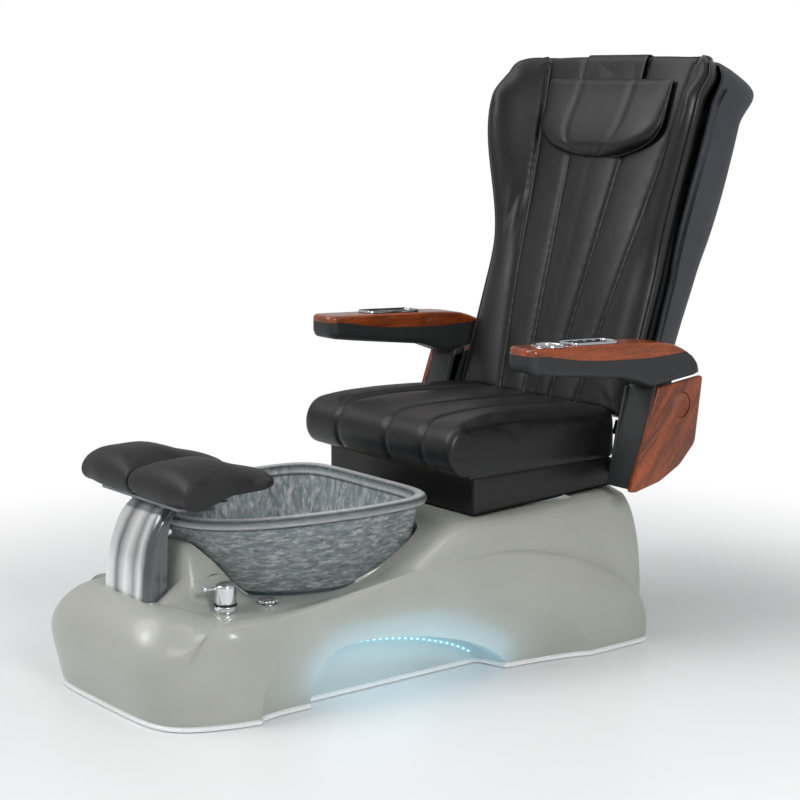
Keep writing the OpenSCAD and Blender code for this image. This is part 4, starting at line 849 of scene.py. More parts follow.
def base_rows(F, u, v):
    """Rows of the moulding from its foot, over the fender and the deck, down into the bowl's well."""
    f, c, top = F["foot"](u, v), F["crest"](u, v), F["top"](u, v)
    trim = F["trim"]
    za = np.minimum(np.maximum(trim + 9, F["arch"](f[:, 1])), c[:, 2] - 9)
    zp = np.minimum(np.maximum(trim + 5, pocket_z(f[:, 1])), za - 3)
    p = lambda z: F["fender"](f, c, z + 0 * za)
    rows = [F["pocketed"](p(lerp(trim, zp, s)), za, f[:, 1]) for s in (0, 0.12, 0.3, 0.5, 0.7, 0.88, 1)]
    rows += [F["coved"](p(lerp(zp + 1.5, za, s)), za)
             for s in (0, 0.08, 0.2, 0.35, 0.5, 0.65, 0.8, 0.92, 0.98)]
    rows += [p(lerp(za, c[:, 2], s)) for s in (0, 0.02, 0.06, 0.14, 0.24, 0.35, 0.47, 0.6, 0.7, 0.79, 0.87,
                                               0.94, 1)]
    # The shoulder climbs steeply and levels out, rounder at the nose; over a lower deck it rolls and falls
    n = lerp(2.4, 1.85, ramp(-c[:, 1], 600, 740))
    climb = ramp(top[:, 2] - c[:, 2], -6, 34)
    for t in np.linspace(0, 1, 21)[1:]:
        s = lerp(t, 1 - (1 - t**n) ** (1 / n), climb)[:, None]
        fall = lerp(t * t * (3 - 2 * t), t, climb)
        bulge = 8 * math.sin(math.pi * t) * ramp(-c[:, 1], 600, 760)
        q = c + (top - c) * s
        q[:, 0] += bulge * u
        q[:, 1] += bulge * v
        q[:, 2] = lerp(c[:, 2], top[:, 2], fall)
        rows.append(q)
    # The well's wall meets the deck where the two heights agree, found by halving
    well = lambda t: F["bowl"](u, v, t, WELL_GAP)
    low, high = 0 * u, 0 * u + 1
    for _ in range(12):
        t = (low + high) / 2
        x, y = well(t)
        above = F["deck_z"](x, y) > F["bowl_z"](t)
        low, high = np.where(above, t, low), np.where(above, high, t)
    x, y = well(t)
    rim = np.stack([x, y, F["deck_z"](x, y)], -1)
    for k in (0.02, 0.06, 0.12, 0.2, 0.28, 0.36, 0.44, 0.52, 0.6, 0.67, 0.74, 0.8, 0.86, 0.91, 0.95, 0.98):
        q = lerp(top, rim, k)
        q[:, 2] = F["deck_z"](q[:, 0], q[:, 1])
        rows.append(q)
    rows.append(rim)
    rise = np.clip((rim[:, 2] - F["floor_z"]) / (F["lip_z"] - F["floor_z"]), 0, 1)
    for t in (np.minimum(0.5, 0.85 * rise), np.minimum(0.22, 0.65 * rise), np.minimum(0.08, 0.3 * rise)):
        rows.append(np.stack([*well(t), F["bowl_z"](t)], -1))
    s = rounding(u, v, 4)
    for x, y in (well(0 * u), (u * s * 80, DRAIN_Y + v * s * 100)):
        rows.append(np.stack([x, y, 0 * x + F["floor_z"] - 3], -1))
    return np.array(rows)


def light_line(side, count=60):
    """The line of diodes under the pocket's upper edge."""
    y = np.linspace(-415, 3, count)
    return np.stack([0 * y + side * 238.6, y, pocket_z(y) - 18.5], -1)


def painted_glow_at(p):
    """How strongly the recess diodes' light is painted onto the moulding, from 0 to 1, at points in
    millimetres: a painted pool of light over the cove and the pocket wall.
    """
    x, y, z = np.abs(p[:, 0]), p[:, 1], p[:, 2]
    line = light_line(1, 40)
    near = np.min(np.hypot(y[:, None] - line[None, :, 1], z[:, None] - line[None, :, 2]), axis=1)
    inside = 1 - ramp(x, 238, 262)
    wall = (0.30 + 0.45 * np.exp(-(near / 34.0) ** 2) + 0.25 * np.exp(-((y + 330) / 170) ** 2))
    cove = 0.9 * np.exp(-(near / 80.0) ** 1.5)
    arch = np.clip(1 - np.abs(y + 165) / 440, 0, 1) ** 0.4
    value = lerp(cove, wall, inside) * arch
    value *= (1 - ramp(z, 160, 225)) * (1 - ramp(x, 322, 345))
    return value * (z > 11) * (y > -572) * (y < 262)


class SPA_OT_base_moulding(bpy.types.Operator):
    """Builds the gel-coated moulding and the white band round its foot"""
    bl_idname = "spa.base_moulding"
    bl_label = "Base moulding"

    def execute(self, context):
        S = sizes()
        F = base_forms(S)

        def closer(p):
            out = 1.0 + 0 * p[:, 1]
            for y, k, w in ((-568, 5, 20), (254, 3, 24), (-436, 4, 18), (44, 2, 24), (-680, 1.5, 60)):
                out += k * np.exp(-((p[:, 1] - y) / w) ** 2) * (np.abs(p[:, 0]) > 150)
            return out

        u, v = spread_walk(460, lambda a, b: F["foot"](a, b)[:, :2], closer)
        rows = base_rows(F, u, v)
        step = np.roll(rows, -1, 1) - np.roll(rows, 1, 1)
        rise = np.concatenate([rows[1:2] - rows[:1], rows[2:] - rows[:-2], rows[-1:] - rows[-2:-1]])
        normal = np.cross(step, rise)
        normal /= np.maximum(np.linalg.norm(normal, axis=2, keepdims=True), 1e-9)
        pick = [len(rows) - k for k in (1, 3, 5, 8, 14, 20)] + [44, 38, 32, 26, 20, 14, 8, 6, 3, 0]
        inner = rows[pick] - 6.0 * normal[pick]
        inner[-1, :, 2] = rows[0, :, 2]
        both = loft(np.concatenate([rows, inner]), closed=True)
        shell = make("base_moulding", both, "Gel-coat, satin grey", 42)
        # Painted light: each point's share of the recess diodes' light, which the gel-coat paints in as
        # emission.
        mark = shell.data.attributes.new("glow", "FLOAT", "POINT")
        mark.data.foreach_set("value", painted_glow_at(places(shell)).astype(np.float32))
        settle(shell, "base", "gelcoat", "base_shell")

        foot = rows[0] * (1, 1, 0)
        along = np.roll(foot, -1, 0) - np.roll(foot, 1, 0)
        out = np.stack([along[:, 1], -along[:, 0], 0 * along[:, 0]], -1)
        out /= np.linalg.norm(out, axis=1, keepdims=True)
        # A rounded band between two narrow grooves
        band = [foot + out * g + (0, 0, z) for g, z in (
            (-2.0, 0.3), (-1.0, 1.8), (2.4, 2.2), (3.2, 3.0), (3.2, 8.4), (2.4, 9.2), (-1.2, 9.6),
            (-1.6, 11.6), (-8.0, 11.6), (-8.0, 0.3))]
        fit("white_band", loft(band, closed=True), "ABS, gloss white", "base", "white_trim", "base_trim",
            sharp=30)
        return {"FINISHED"}


class SPA_OT_foot_bowl(bpy.types.Operator):
    """Builds the thick pressed-glass foot bowl with its rolled rim"""
    bl_idname = "spa.foot_bowl"
    bl_label = "Foot bowl"

    def execute(self, context):
        S = sizes()
        F = base_forms(S)
        rim_z, lip = S["rim_height"], F["lip_z"]
        u, v = spread_walk(300, lambda a, b: np.stack(F["bowl"](a, b, 1 + 0 * a), -1))

        def ring(t, grow, z):
            x, y = F["bowl"](u, v, t + 0 * u, grow)
            return np.stack([x, y, 0 * x + z], -1)

        def hole(z):
            s = rounding(u, v, 2)
            return np.stack([u * s * 26, DRAIN_Y + v * s * 26, 0 * u + z], -1)

        z, low = F["bowl_z"], F["floor_z"]
        outer = [hole(low), ring(0, -40, low), ring(0, -14, low), ring(0, -4, low + 4)]
        outer += [ring(t, g, z(t)) for t, g in ((0.08, -1.5), (0.2, -1.5), (0.4, -0.5), (0.7, 0), (0.93, 0))]
        outer += [ring(1, g, h) for g, h in (
            (3, lip - 1), (9, lip + 1), (13, lip + 8), (14, lip + 14), (12.5, rim_z - 4), (8, rim_z - 0.8),
            (3, rim_z), (-4, rim_z - 1.2))]
        inner = [ring(1, -8, rim_z - 6), ring(0.97, -9, z(0.97) - 1)]
        inner += [ring(t, -9, z(t)) for t in (0.7, 0.4, 0.2)]
        inner += [ring(0.1, -11, z(0.12)), ring(0, -20, low + 12), ring(0, -40, low + 9), hole(low + 9)]
        rows = smooth_rows(outer + inner, 3)
        # Ripples pressed into the inside of the wall
        p = rows.reshape(-1, 3)
        middle = np.array([0, -330, 300])
        away = p - middle
        away[:, 2] = 0
        away /= np.maximum(np.linalg.norm(away, axis=1, keepdims=True), 1e-6)
        x, y, h = p.T
        bumps = (np.sin(x / 9.3 + 2 * np.sin(h / 11)) * np.sin(y / 10.1 + 1.7 * np.sin(h / 8))
                 * np.sin(h / 7.7 + np.sin(x / 15)))
        inside = np.zeros(len(rows))
        inside[3 * len(outer) + 3:-9] = 1
        p = p + away * (bumps * np.repeat(inside, rows.shape[1]) * 1.8)[:, None]
        fit("glass_bowl", loft(p.reshape(rows.shape), closed=True), "Pressed glass, rippled", "base", "glass",
            "foot_bowl", sharp=60)
        return {"FINISHED"}


class SPA_OT_lights(bpy.types.Operator):
    """Builds the row of diodes in each side recess"""
    bl_idname = "spa.lights"
    bl_label = "Recess lights"

    def execute(self, context):
        bead = small_box("diode", 5.0, 3.2, 5.0)
        for name, side in SIDES:
            line = light_line(side, 90)
            across = np.tile((1.0, 0.0, 0.0), (len(line), 1))
            beads = row_of(f"diodes_{name}", line, bead, 16.5, "Light cover, milky", across)
            ribbon = [line + (side * dx, 0, dz) for dx, dz in ((-1.7, 4), (0.6, 4), (0.6, -4), (-1.7, -4))]
            tape = make(f"tape_{name}", loft(np.array(ribbon).transpose(1, 0, 2)), "Light tape", 30)
            strip = joined(f"light_row_{name}", [beads, tape])
            settle(strip, "base", "light_cover", f"light_strip_{name}")
        bpy.data.objects.remove(bead)
        return {"FINISHED"}


# ---- footrest ----
def channel_rows():
    """The pedestal: one sheet bent round the front and both sides, open behind."""
    rows = []
    for t in np.linspace(0, 1, 30):
        z = lerp(222, 410.5, t)
        front = -638 - 67 * (1 - t**2.2) ** 0.667
        back = np.interp(z, [222, 306, 350, 384, 398, 411], [-660, -653, -650, -641, -622, -610])
        half = np.interp(z, [222, 300, 385, 412], [86, 80, 76, 68])
        r = 13.0
        outline = [(half, back)]
        for a in np.linspace(0, math.pi / 2, 8):
            outline.append((half - r + r * math.cos(a), front + r - r * math.sin(a)))
        outline += [(-x, y) for x, y in outline[::-1]]
        outline = np.array(outline)
        d = np.gradient(outline, axis=0)
        n = np.stack([d[:, 1], -d[:, 0]], 1) / np.linalg.norm(d, axis=1, keepdims=True)
        inside = outline - 3.0 * n
        inside[0], inside[-1] = (half - 3, back), (-half + 3, back)
        ring = np.concatenate([outline, inside[::-1]])
        rows.append(at_height(ring, z))
    return np.array(rows)


class SPA_OT_pedestal(bpy.types.Operator):
    """Builds the polished pedestal of the footrest"""
    bl_idname = "spa.pedestal"
    bl_label = "Footrest pedestal"

    def execute(self, context):
        fit("pedestal_sheet", loft(channel_rows()), "Stainless sheet, polished", "base", "stainless",
            "pedestal", sharp=50)
        return {"FINISHED"}


def pad_rings(side):
    """Rings across one foot pad, from its inner edge to its outer one."""
    def crest(y):
        return 508 - 14 * ramp(-y, 655, 702) - 30 * ramp(y, -590, -480) - 24 * ramp(y, -490, -412)

    def under(y):
        return 424 + 26 * ramp(y, -660, -560) - 14 * ramp(y, -470, -412)

    rings = []
    for k in 0.5 - 0.5 * np.cos(np.linspace(0, math.pi, 34)):
        swelled = max(0.0, math.sin(math.pi * k)) ** 0.34
        x, outer = 3 + 202 * k, float(ramp(k, 0.55, 1))
        tail, nose = -414 - 52 * abs(2 * k - 1) ** 3 - 20 * float(ramp(k, 0.3, 0.8)), -702 + 10 * outer
        low = lambda y: lerp(lerp(444, 424, swelled), under(y), max(swelled, outer * 0.9))
        valley = 30 * (1 - float(ramp(k, 0, 0.3)))
        top = lambda y: np.maximum(low(y) + 10 + 14 * swelled, crest(y) - valley * ramp(y, -690, -640)
                                   * (1 - ramp(y, -560, -460)) - 22 * (1 - swelled) - 10 * outer**2)
        y1, y2 = np.linspace(nose + 22, tail - 14, 26), np.linspace(tail - 10, nose + 16, 30)
        line = [(y, float(low(y))) for y in y1]
        line += [(tail - 3, lerp(low(tail), top(tail), 0.25)), (tail, lerp(low(tail), top(tail), 0.6))]
        line += [(y, float(top(y))) for y in y2]
        line += [(nose + set_back, lerp(low(nose), top(nose + 16), k))
                 for set_back, k in ((3, 0.72), (0, 0.45), (7, 0.16))]
        rings.append([(side * x, y, z) for y, z in line])
    return np.array(rings, float)


def relax(piece, times, weight=0.5):
    """Evens out a mesh's lumps by moving each point towards its neighbours."""
    work = bmesh.new()
    work.from_mesh(piece.data)
    for _ in range(times):
        bmesh.ops.smooth_vert(work, verts=work.verts, factor=weight, use_axis_x=True, use_axis_y=True,
                              use_axis_z=True)
    work.to_mesh(piece.data)
    work.free()


class SPA_OT_foot_pads(bpy.types.Operator):
    """Builds the two padded footrests with the seam round their lower edge"""
    bl_idname = "spa.foot_pads"
    bl_label = "Foot pads"

    def execute(self, context):
        for name, side in SIDES:
            pad = make(f"foot_pad_{name}", loft(pad_rings(side), cap_rings=3), "Vinyl, dark grey pad", 180)
            held = (places(pad)[:, 2] < 446).astype(float)
            relax(pad, 3)
            swell(pad, held, 5.0, 3.0)
            subdivide(pad)
            settle(pad, "footrest", "pad_vinyl", f"footrest_pad_{name}")
        return {"FINISHED"}


# ---- turned fittings ----
def lathe(profile, centre, axis="z", lobes=0, depth=0.0, count=64):
    """Turns (radius, height) points round an axis; lobes scallop the rim."""
    a = np.arange(count) / count * 2 * math.pi
    rows = []
    for r, h in profile:
        rr = r * (1 + depth * np.cos(lobes * a)) if lobes else r + 0 * a
        x, y, z = rr * np.cos(a), rr * np.sin(a), h + 0 * a
        rows.append(np.stack({"z": (x, y, z), "x": (z, x, y), "-x": (-z, x, y)}[axis], -1) + centre)
    return loft(np.array(rows))


class SPA_OT_valves(bpy.types.Operator):
    """Builds the mixer with its lever, the diverter and the tap"""
    bl_idname = "spa.valves"
    bl_label = "Valves"

    def execute(self, context):
        deck = sizes()["deck_height"]
        at = (173, -577, deck + 4.1)
        body = join_solids(
            lathe([(22, -3.4), (23.6, -3.4), (24, -1), (24, 8.4), (23.2, 9.6), (22, 10), (22, 13.4), (21, 14),
                   (8, 14)], at),
            lathe([(8, 13), (8, 25), (7, 26)], at))
        fit("mixer_base", body, "Chromed brass", "base", "chrome", "mixer_body")
        h = 14.4
        drum = lathe([(8.6, h), (20.8, h), (21.9, h + 0.8), (22, h + 3), (22, h + 33), (21.6, h + 35.6),
                      (20, h + 38.2), (16, h + 40.6), (8, h + 41.4), (2, h + 41.6)], at)
        a = math.radians(-102)
        reach = np.array([math.cos(a), math.sin(a), 0.06])
        lever = np.array([np.array(at) + (0, 0, h + 29) + reach * d for d in np.linspace(12, 43, 10)])
        rod = cord_line("lever_rod", lever, 4.2, "Chromed brass", sides=20)
        ball = lathe([(1, -6), (4, -5.4), (5.6, -3), (6, 0), (5.6, 3), (4, 5.4), (1, 6)], lever[-1])
        tip = make("lever_tip", ball, "Chromed brass")
        handle = joined("mixer_lever_handle", [make("drum", drum, "Chromed brass"), rod, tip])
        settle(handle, "mixer_lever", "chrome", "mixer_handle")
        ring = lathe([(22.2, 10.2), (22.9, 10.4), (23, 12), (22.9, 13.6), (22.2, 13.8)], at)
        fit("mixer_seal", ring, "Nitrile rubber", "base", "rubber")

        at = (176, -477, deck + 0.4)
        foot = lathe([(5, 0), (22, 0), (22.2, 1), (21, 2), (5, 2.1), (5, 6.6), (3, 7)], at)
        fit("diverter_base", foot, "Chromed brass", "base", "chrome", "diverter_body")
        knob = lathe([(5.4, 2.5), (17, 2.5), (19.6, 3.2), (20.4, 5), (20, 8), (18, 9.6), (14, 9.9),
                      (12.6, 8.8), (9, 8.6), (8, 9.6), (3, 9.9)], at, lobes=8, depth=0.10, count=128)
        fit("diverter_rosette", knob, "Chromed brass", "diverter", "chrome", "diverter_knob", sharp=50)

        knob = lathe([(3.3, 0), (9.4, 0), (10.6, 1.2), (11, 4), (10.6, 9.4), (9, 11.4), (4, 12), (1, 12)],
                     (28.4, -621, 352), "x", lobes=6, depth=0.13, count=96)
        fit("tap_rosette", knob, "Chromed brass", "tap", "chrome", "tap_knob", sharp=50)
        return {"FINISHED"}


# ---- seat ----
def rounded_box(half_x, y0, y1, radius, steps=10):
    """A rounded rectangle's outline from above."""
    points = []
    for cx, cy, start in ((half_x - radius, y0 + radius, -90), (half_x - radius, y1 - radius, 0),
                          (-half_x + radius, y1 - radius, 90), (-half_x + radius, y0 + radius, 180)):
        for a in np.radians(np.linspace(start, start + 90, steps)):
            points.append((cx + radius * math.cos(a), cy + radius * math.sin(a)))
    points = np.array(points)
    out, step = [], 12.0
    for a, b in zip(points, np.roll(points, -1, 0)):
        count = max(1, int(np.linalg.norm(b - a) / step))
        out += [lerp(a, b, k / count) for k in range(count)]
    return np.array(out)


class SPA_OT_seat_box(bpy.types.Operator):
    """Builds the leather-covered seat box with its piped corners"""
    bl_idname = "spa.seat_box"
    bl_label = "Seat box"

    def execute(self, context):
        outline = rounded_box(260.6, 0.0, 406.0, 11)
        rest = sizes()["platform_height"] + outline[:, 1] * PLATFORM_SLOPE
        low = rest + 3.3
        normal = np.stack([np.gradient(outline[:, 1]), -np.gradient(outline[:, 0])], 1)
        normal /= np.linalg.norm(normal, axis=1, keepdims=True)
        rows = []
        for t in (0, 0.01, 0.04, 0.12, 0.25, 0.4, 0.55, 0.7, 0.82, 0.9, 0.95, 0.98, 1):
            z = lerp(low, 415.4, t)
            belly = math.sin(math.pi * t)
            slack = 0.72 * np.sin(outline[:, 0] / 37 + 2.0) * np.sin(outline[:, 1] / 41) * belly
            pull = 1 - 0.004 * (1 - belly ** 0.4)
            push = slack - 0.9 * (t < 0.02) - 0.9 * (t > 0.97)
            rows.append(at_height(outline * (pull, 1) + normal * push[:, None], z))
        box = make("seat_box", loft(np.array(rows)), "Leather, black coated", 60)
        welts = []
        for k, (x, y) in enumerate(((257.4, 3.2), (-257.4, 3.2), (257.4, 402.8), (-257.4, 402.8))):
            line = np.array([(x, y, z) for z in np.linspace(low.min() + (3 if y < 100 else 17), 413.5, 12)])
            welts.append(cord_line(f"welt_{k}", line, 2.3, "Leather piping"))
        lower = at_height(outline * (1.001, 1), rest + 5.2)
        welts.append(cord_line("welt_low", lower, 1.6, "Thread, black", closed=True, sides=8))
        whole = joined("seat_box_cover", [box, *welts])
        settle(whole, "carriage", "black_leather", "seat_apron")
        return {"FINISHED"}


def seat_seams(y):
    """Places of the three long seams across the seat, at a distance from the front."""
    t = ramp(y, -70, 20)
    return np.array([lerp(-136, -143, t), lerp(40, 24, t), lerp(166, 146, t)])


def seat_ring(x, S):
    """The seat cushion's section at one distance from the middle plane, from under its nose and round."""
    k = np.clip((abs(x) - (S["seat_half"] - PAD_EDGE)) / PAD_EDGE, 0, 1)
    drop = PAD_EDGE * (1 - math.sqrt(max(0.0, 1 - k * k)))
    b, rear = PAD_LOW, 405.0
    crown = S["seat_top"] - 0.72 * drop
    nose = -S["seat_nose"] + 0.5 * drop
    depth = 52 + 6 * (1 - k)
    arc = []
    for a in np.radians(np.linspace(0, 180, 17)):
        arc.append((nose + depth - depth * math.sin(a) ** 0.8, lerp(b + 6, crown - 3, (1 - math.cos(a)) / 2)))
    line = [(30, b), (4, b), (-18, b + 0.6)] + arc
    for s in np.linspace(0, 1, 12)[1:]:
        y = lerp(nose + depth, rear - 16, s)
        line.append((y, crown - 10 * float(ramp(s, 0.2, 1)) + 3 * math.sin(math.pi * s)))
    line += [(rear - 6, crown - 14), (rear - 1, crown - 24), (rear, crown - 44), (rear, b + 14),
             (rear - 6, b + 1), (rear - 40, b), (300, b), (200, b), (100, b)]
    return np.array([(x, y, z) for y, z in line])


class SPA_OT_seat_cushion(bpy.types.Operator):
    """Builds the seat cushion with its rolled front and its three long seams"""
    bl_idname = "spa.seat_cushion"
    bl_label = "Seat cushion"

    def execute(self, context):
        S = sizes()
        flat = S["seat_half"] - PAD_EDGE
        edge = flat + PAD_EDGE * np.sin(np.radians(np.linspace(0, 90, 7)))[1:]
        # Stations stand between the seams, so that a row of points lies on each
        stops = [-flat, *seat_seams(100.0), flat]
        xs = []
        for a, b in zip(stops[:-1], stops[1:]):
            count = max(4, int((b - a) / 8.5))
            xs += [lerp(a, b, i / count) for i in range(count)]
        xs = np.array([*(-edge[::-1]), *xs, flat, *edge])
        rings = np.array([seat_ring(x, S) for x in xs])
        rings = np.array([smooth_rows(np.concatenate([ring, ring[:1]]), 2)[:-1] for ring in rings])
        # Seams lean outwards over the rolled front
        for ring, x in zip(rings, xs):
            here = np.array([seat_seams(y) for y in ring[:, 1]])
            at = np.column_stack([here[:, 0] * 0 - flat, here, here[:, 0] * 0 + flat])
            want = np.array([np.interp(x, stops, row) if abs(x) < flat else x for row in at])
            ring[:, 0] = np.where(ring[:, 2] > 424, want, x)
        cushion = make("seat_pad", loft(rings, cap_rings=4), "Leather, black coated", 180)

        def gap(q):
            here = np.array([seat_seams(y) for y in q[:, 1]])
            return np.min(np.abs(q[:, :1] - here), axis=1)

        p = places(cushion)
        sewn = np.where((p[:, 2] > 424) & (p[:, 1] < 400), np.exp(-(gap(p) / 3.0) ** 2), 0)
        swell(cushion, np.maximum(sewn, (p[:, 2] < 421).astype(float)), 7.0, 5.0)
        subdivide(cushion)
        relax(cushion, 1, 0.3)
        p = places(cushion)
        over = ramp(p[:, 2], 424, 440) * (1 - ramp(p[:, 1], 380, 402))
        waves = 0.25 * np.sin(p[:, 1] / 4.1 + 3 * np.sin(p[:, 1] / 29))
        sink(cushion, seam_sink(S["channel"], gap(p), 0.65, 3.6, waves, 13) * over)
        settle(cushion, "carriage", "black_leather", "seat_cushion")
        return {"FINISHED"}


# ---- backrest ----
def back_w(z):
    return 281 + 64 * ramp(z, 380, 730) - 17 * ramp(z, 745, BACK_LONG + 20)


def wing_y(z):
    return -60 - 68 * ramp(z, 330, 735) + 33 * ramp(z, 740, 835) + 22 * ramp(z, 830, BACK_LONG)


def seam_out(z):
    return 147 + 70 * (np.asarray(z, float) - 151) / 505


def seam_in(z):
    return 53 + 33 * (np.asarray(z, float) - 158) / 449


def back_rear(z):
    return 99 + 21 * ramp(z, 180, 447) - 48 * ramp(z, 447, 730) + 74 * ramp(z, 730, BACK_LONG)


def shell_w(z):
    v = np.clip(np.abs(2 * (z - BACK_LOW) / (BACK_LONG - BACK_LOW) - 1), 0, 1)
    return back_w(z) * np.maximum(0, 1 - v**12) ** (1 / 12)


def seams_at(z, w):
    outer = np.minimum(seam_out(z), w - 60)
    return outer, np.minimum(seam_in(z), outer - 40)


def back_front(x, z):
    """The sewn face of the backrest, without its channels: a shallow panel between two wings."""
    w, a = back_w(z), np.abs(x)
    so, si = seams_at(z, w)
    out = np.clip((a - so) / (w - so), 0, 1)
    panel = -60 + 12 * ramp(z, 250, 650) * ramp(a / np.maximum(so, 1), 0.3, 1)
    wing = lerp(panel, wing_y(z), ramp(out, 0, 0.85)) - 9 * np.sin(math.pi * out)
    puff = -3.5 * np.sin(math.pi * np.clip(a / si, 0, 1)) * (a < si)
    puff += -4.0 * np.sin(math.pi * np.clip((a - si) / (so - si), 0, 1))
    return wing + np.where(a < so, puff, 0) + 13 * ramp(a, w - 15, w)


def back_behind(x, z):
    w = shell_w(z)
    high = ramp(z, BACK_LONG - 50, BACK_LONG - 14)
    low_edge = np.minimum(seam_out(z), w - 60)
    out = np.maximum(high, np.clip((np.abs(x) - low_edge) / (w - 14 - low_edge), 0, 1))
    out = np.where(out < 1, out * out * (3 - 2 * out), 1)
    return lerp(-16 * (1 - ramp(np.abs(x), 110, 200)), wing_y(z) + 55, out)


class SPA_OT_back_cushion(bpy.types.Operator):
    """Builds the backrest's sewn front with its four channels, wings and piped edge"""
    bl_idname = "spa.back_cushion"
    bl_label = "Backrest front"

    def execute(self, context):
        S = sizes()
        # Shares across one half: whole numbers fall on the middle, the two seams and the edge
        share = np.concatenate([np.linspace(0, 1, 9)[:-1], np.linspace(1, 2, 12)[:-1], np.linspace(2, 3, 18)])
        low, high = BACK_LOW, BACK_LONG
        levels = [(low, 14, 0.6), (low + 3, 8, 0.32), (low + 8, 3, 0.12), (low + 16, 0, 0)]
        levels += [(z, 0, 0) for z in np.linspace(low + 24, high - 82, 82)]
        for a in np.radians([6, 13, 21, 30, 40, 50, 60, 69, 77, 83, 88]):
            levels.append((high - 74 + 74 * math.sin(a), 74 * (1 - math.cos(a)), 0.5 * math.sin(a) ** 16))
        rows = []
        for z, inset, flatten in levels:
            w = back_w(z) - inset
            so, si = seams_at(z, w)
            xs = np.interp(share, [0, 1, 2, 3], [0, si, so, w])
            xs = np.concatenate([-xs[::-1], xs[1:]])
            behind = xs[::-2][1:-1]
            f, g = back_front(xs, z), back_behind(xs, z)
            fb, gb = back_front(behind, z), back_behind(behind, z)
            front = np.column_stack([xs, lerp(f, (f + g) / 2, flatten)])
            rear = np.column_stack([behind, lerp(gb, (fb + gb) / 2, flatten * 0.6)])
            rows.append(at_height(np.concatenate([front, rear]), z))
        pad = make("backrest_pad", on_back(loft(rows, cap_rings=2)), "Leather, black coated", 180)

        def gap(q):
            so, si = seams_at(q[:, 2], back_w(q[:, 2]))
            a = np.abs(q[:, 0])
            return np.minimum(np.abs(a - so), np.abs(a - si))

        q = to_back(places(pad))
        faces_front = q[:, 1] < (back_front(q[:, 0], q[:, 2]) + back_behind(q[:, 0], q[:, 2])) / 2
        edge = np.abs(q[:, 0]) > back_w(q[:, 2]) - 6
        sewn = np.where(faces_front, np.exp(-(gap(q) / 3.0) ** 2), 1.0)
        swell(pad, np.maximum(sewn, np.maximum(edge, (q[:, 2] > high - 14) | (q[:, 2] < low + 4))), 7.0, 5.0)
        subdivide(pad)
        q, normals = to_back(places(pad)), coordinates(pad.data, "normal")
        facing = np.clip(-(normals[:, 1] * math.cos(LEAN) - normals[:, 2] * math.sin(LEAN)) * 1.6, 0, 1)
        over = facing * ramp(q[:, 2], low, low + 20) * (1 - ramp(q[:, 2], high - 14, high))
        waves = 0.2 * np.sin(q[:, 2] / 4.6 + 3 * np.sin(q[:, 2] / 31) + 5 * (q[:, 0] > 0))
        sink(pad, seam_sink(S["channel"], gap(q), 0.75, 3.4, waves, 14) * over)
        settle(pad, "back", "black_leather", "back_cushion")

        welts = []
        for side in (1, -1):
            line = [(side * (back_w(z) - inset + 0.4), wing_y(z) + 12 + 16 * ramp(z, high - 40, high), z)
                    for z, inset, _ in levels[3:]]
            line = from_back(curve_through(line, 240))
            welts.append(cord_line(f"edge_{side}", line, 3.2, "Leather piping"))
        settle(joined("backrest_piping", welts), "back", "black_leather")
        return {"FINISHED"}


def shell_rows():
    """Rows of the backrest's cover: its outer wall from the middle to the rim, then the inner wall back."""
    z_mid, z_half = (BACK_LOW + BACK_LONG) / 2, (BACK_LONG - BACK_LOW) / 2
    u, v = spread_walk(280, lambda a, b: np.stack([a * 300, b * 420], -1) * rounding(a, b, 12)[:, None])
    s = rounding(u, v, 12)

    def row(inset, deep, thick=0.0):
        z = z_mid + v * s * (z_half - inset * 0.8)
        y = np.minimum(lerp(wing_y(z) + COVER_RIM, back_rear(z), deep), back_rear(z)) - thick
        return np.stack([u * s * (back_w(z) - inset), y, z], -1)

    def middle(k, thick):
        z = z_mid + v * s * k * (z_half - 112)
        return np.stack([u * s * k * (back_w(z) - 140), back_rear(z) - thick, z], -1)

    shares = (0.84, 0.68, 0.52, 0.36, 0.2, 0.05)
    knots = smooth_rows([(0, 0), (0.6, 0.06), (2, 0.2), (7, 0.45), (14, 0.7), (24, 0.88), (40, 0.98), (64, 1),
                         (140, 1)], 3)
    rows = [middle(k, 0) for k in shares[::-1]] + [row(*knot) for knot in knots[::-1]]
    rows += [row(*knot) for knot in ((6, 0), (8, 0.12), (14, 0.45), (24, 0.8), (40, 0.95, 5), (70, 1, 6),
                                     (140, 1, 6))]
    return np.array(rows + [middle(k, 6) for k in shares])


class SPA_OT_back_cover(bpy.types.Operator):
    """Builds the blue-grey cover behind the backrest, with its zips"""
    bl_idname = "spa.back_cover"
    bl_label = "Backrest cover"

    def execute(self, context):
        rows = shell_rows()
        # A slack panel: slow swells that follow the height of the cover
        wall = slice(6, 31)
        fade = np.sin(math.pi * np.linspace(1, 0, 25) ** 0.6)[:, None]
        slack = 1.6 * np.sin(rows[wall, :, 2] / 96 + 0.6) * fade
        rows[wall, :, 0] += np.sign(rows[wall, :, 0]) * slack * (np.abs(rows[wall, :, 0]) > 200)
        fit("back_cover", on_back(loft(rows)), "Leather, blue-grey side", "back", "grey_leather",
            "back_shell", sharp=60)

        tooth = small_box("zip_tooth", 2.6, 1.6, 1.0)
        for name, side in SIDES:
            z = np.linspace(BACK_LOW + 60, BACK_LONG - 72, 260)
            y = lerp(wing_y(z) + COVER_RIM, back_rear(z), ZIP_SHARE)
            line = from_back(np.stack([side * (back_w(z) - 0.2), y, z], -1))
            rearwards = np.array([0, math.cos(LEAN), -math.sin(LEAN)])
            across = np.tile(rearwards, (len(line), 1))
            zip_row = row_of(f"zip_{name}", line, tooth, 2.6, "Zip teeth, nylon", across)
            tapes = [cord_line(f"tape_{name}_{k}", line + shift * rearwards - (side * 0.6, 0, 0), 1.5,
                               "Leather piping", sides=8) for k, shift in enumerate((-4.2, 4.2))]
            settle(joined(f"back_zip_{name}", [zip_row, *tapes]), "back", "black_leather")
        bpy.data.objects.remove(tooth)
        return {"FINISHED"}


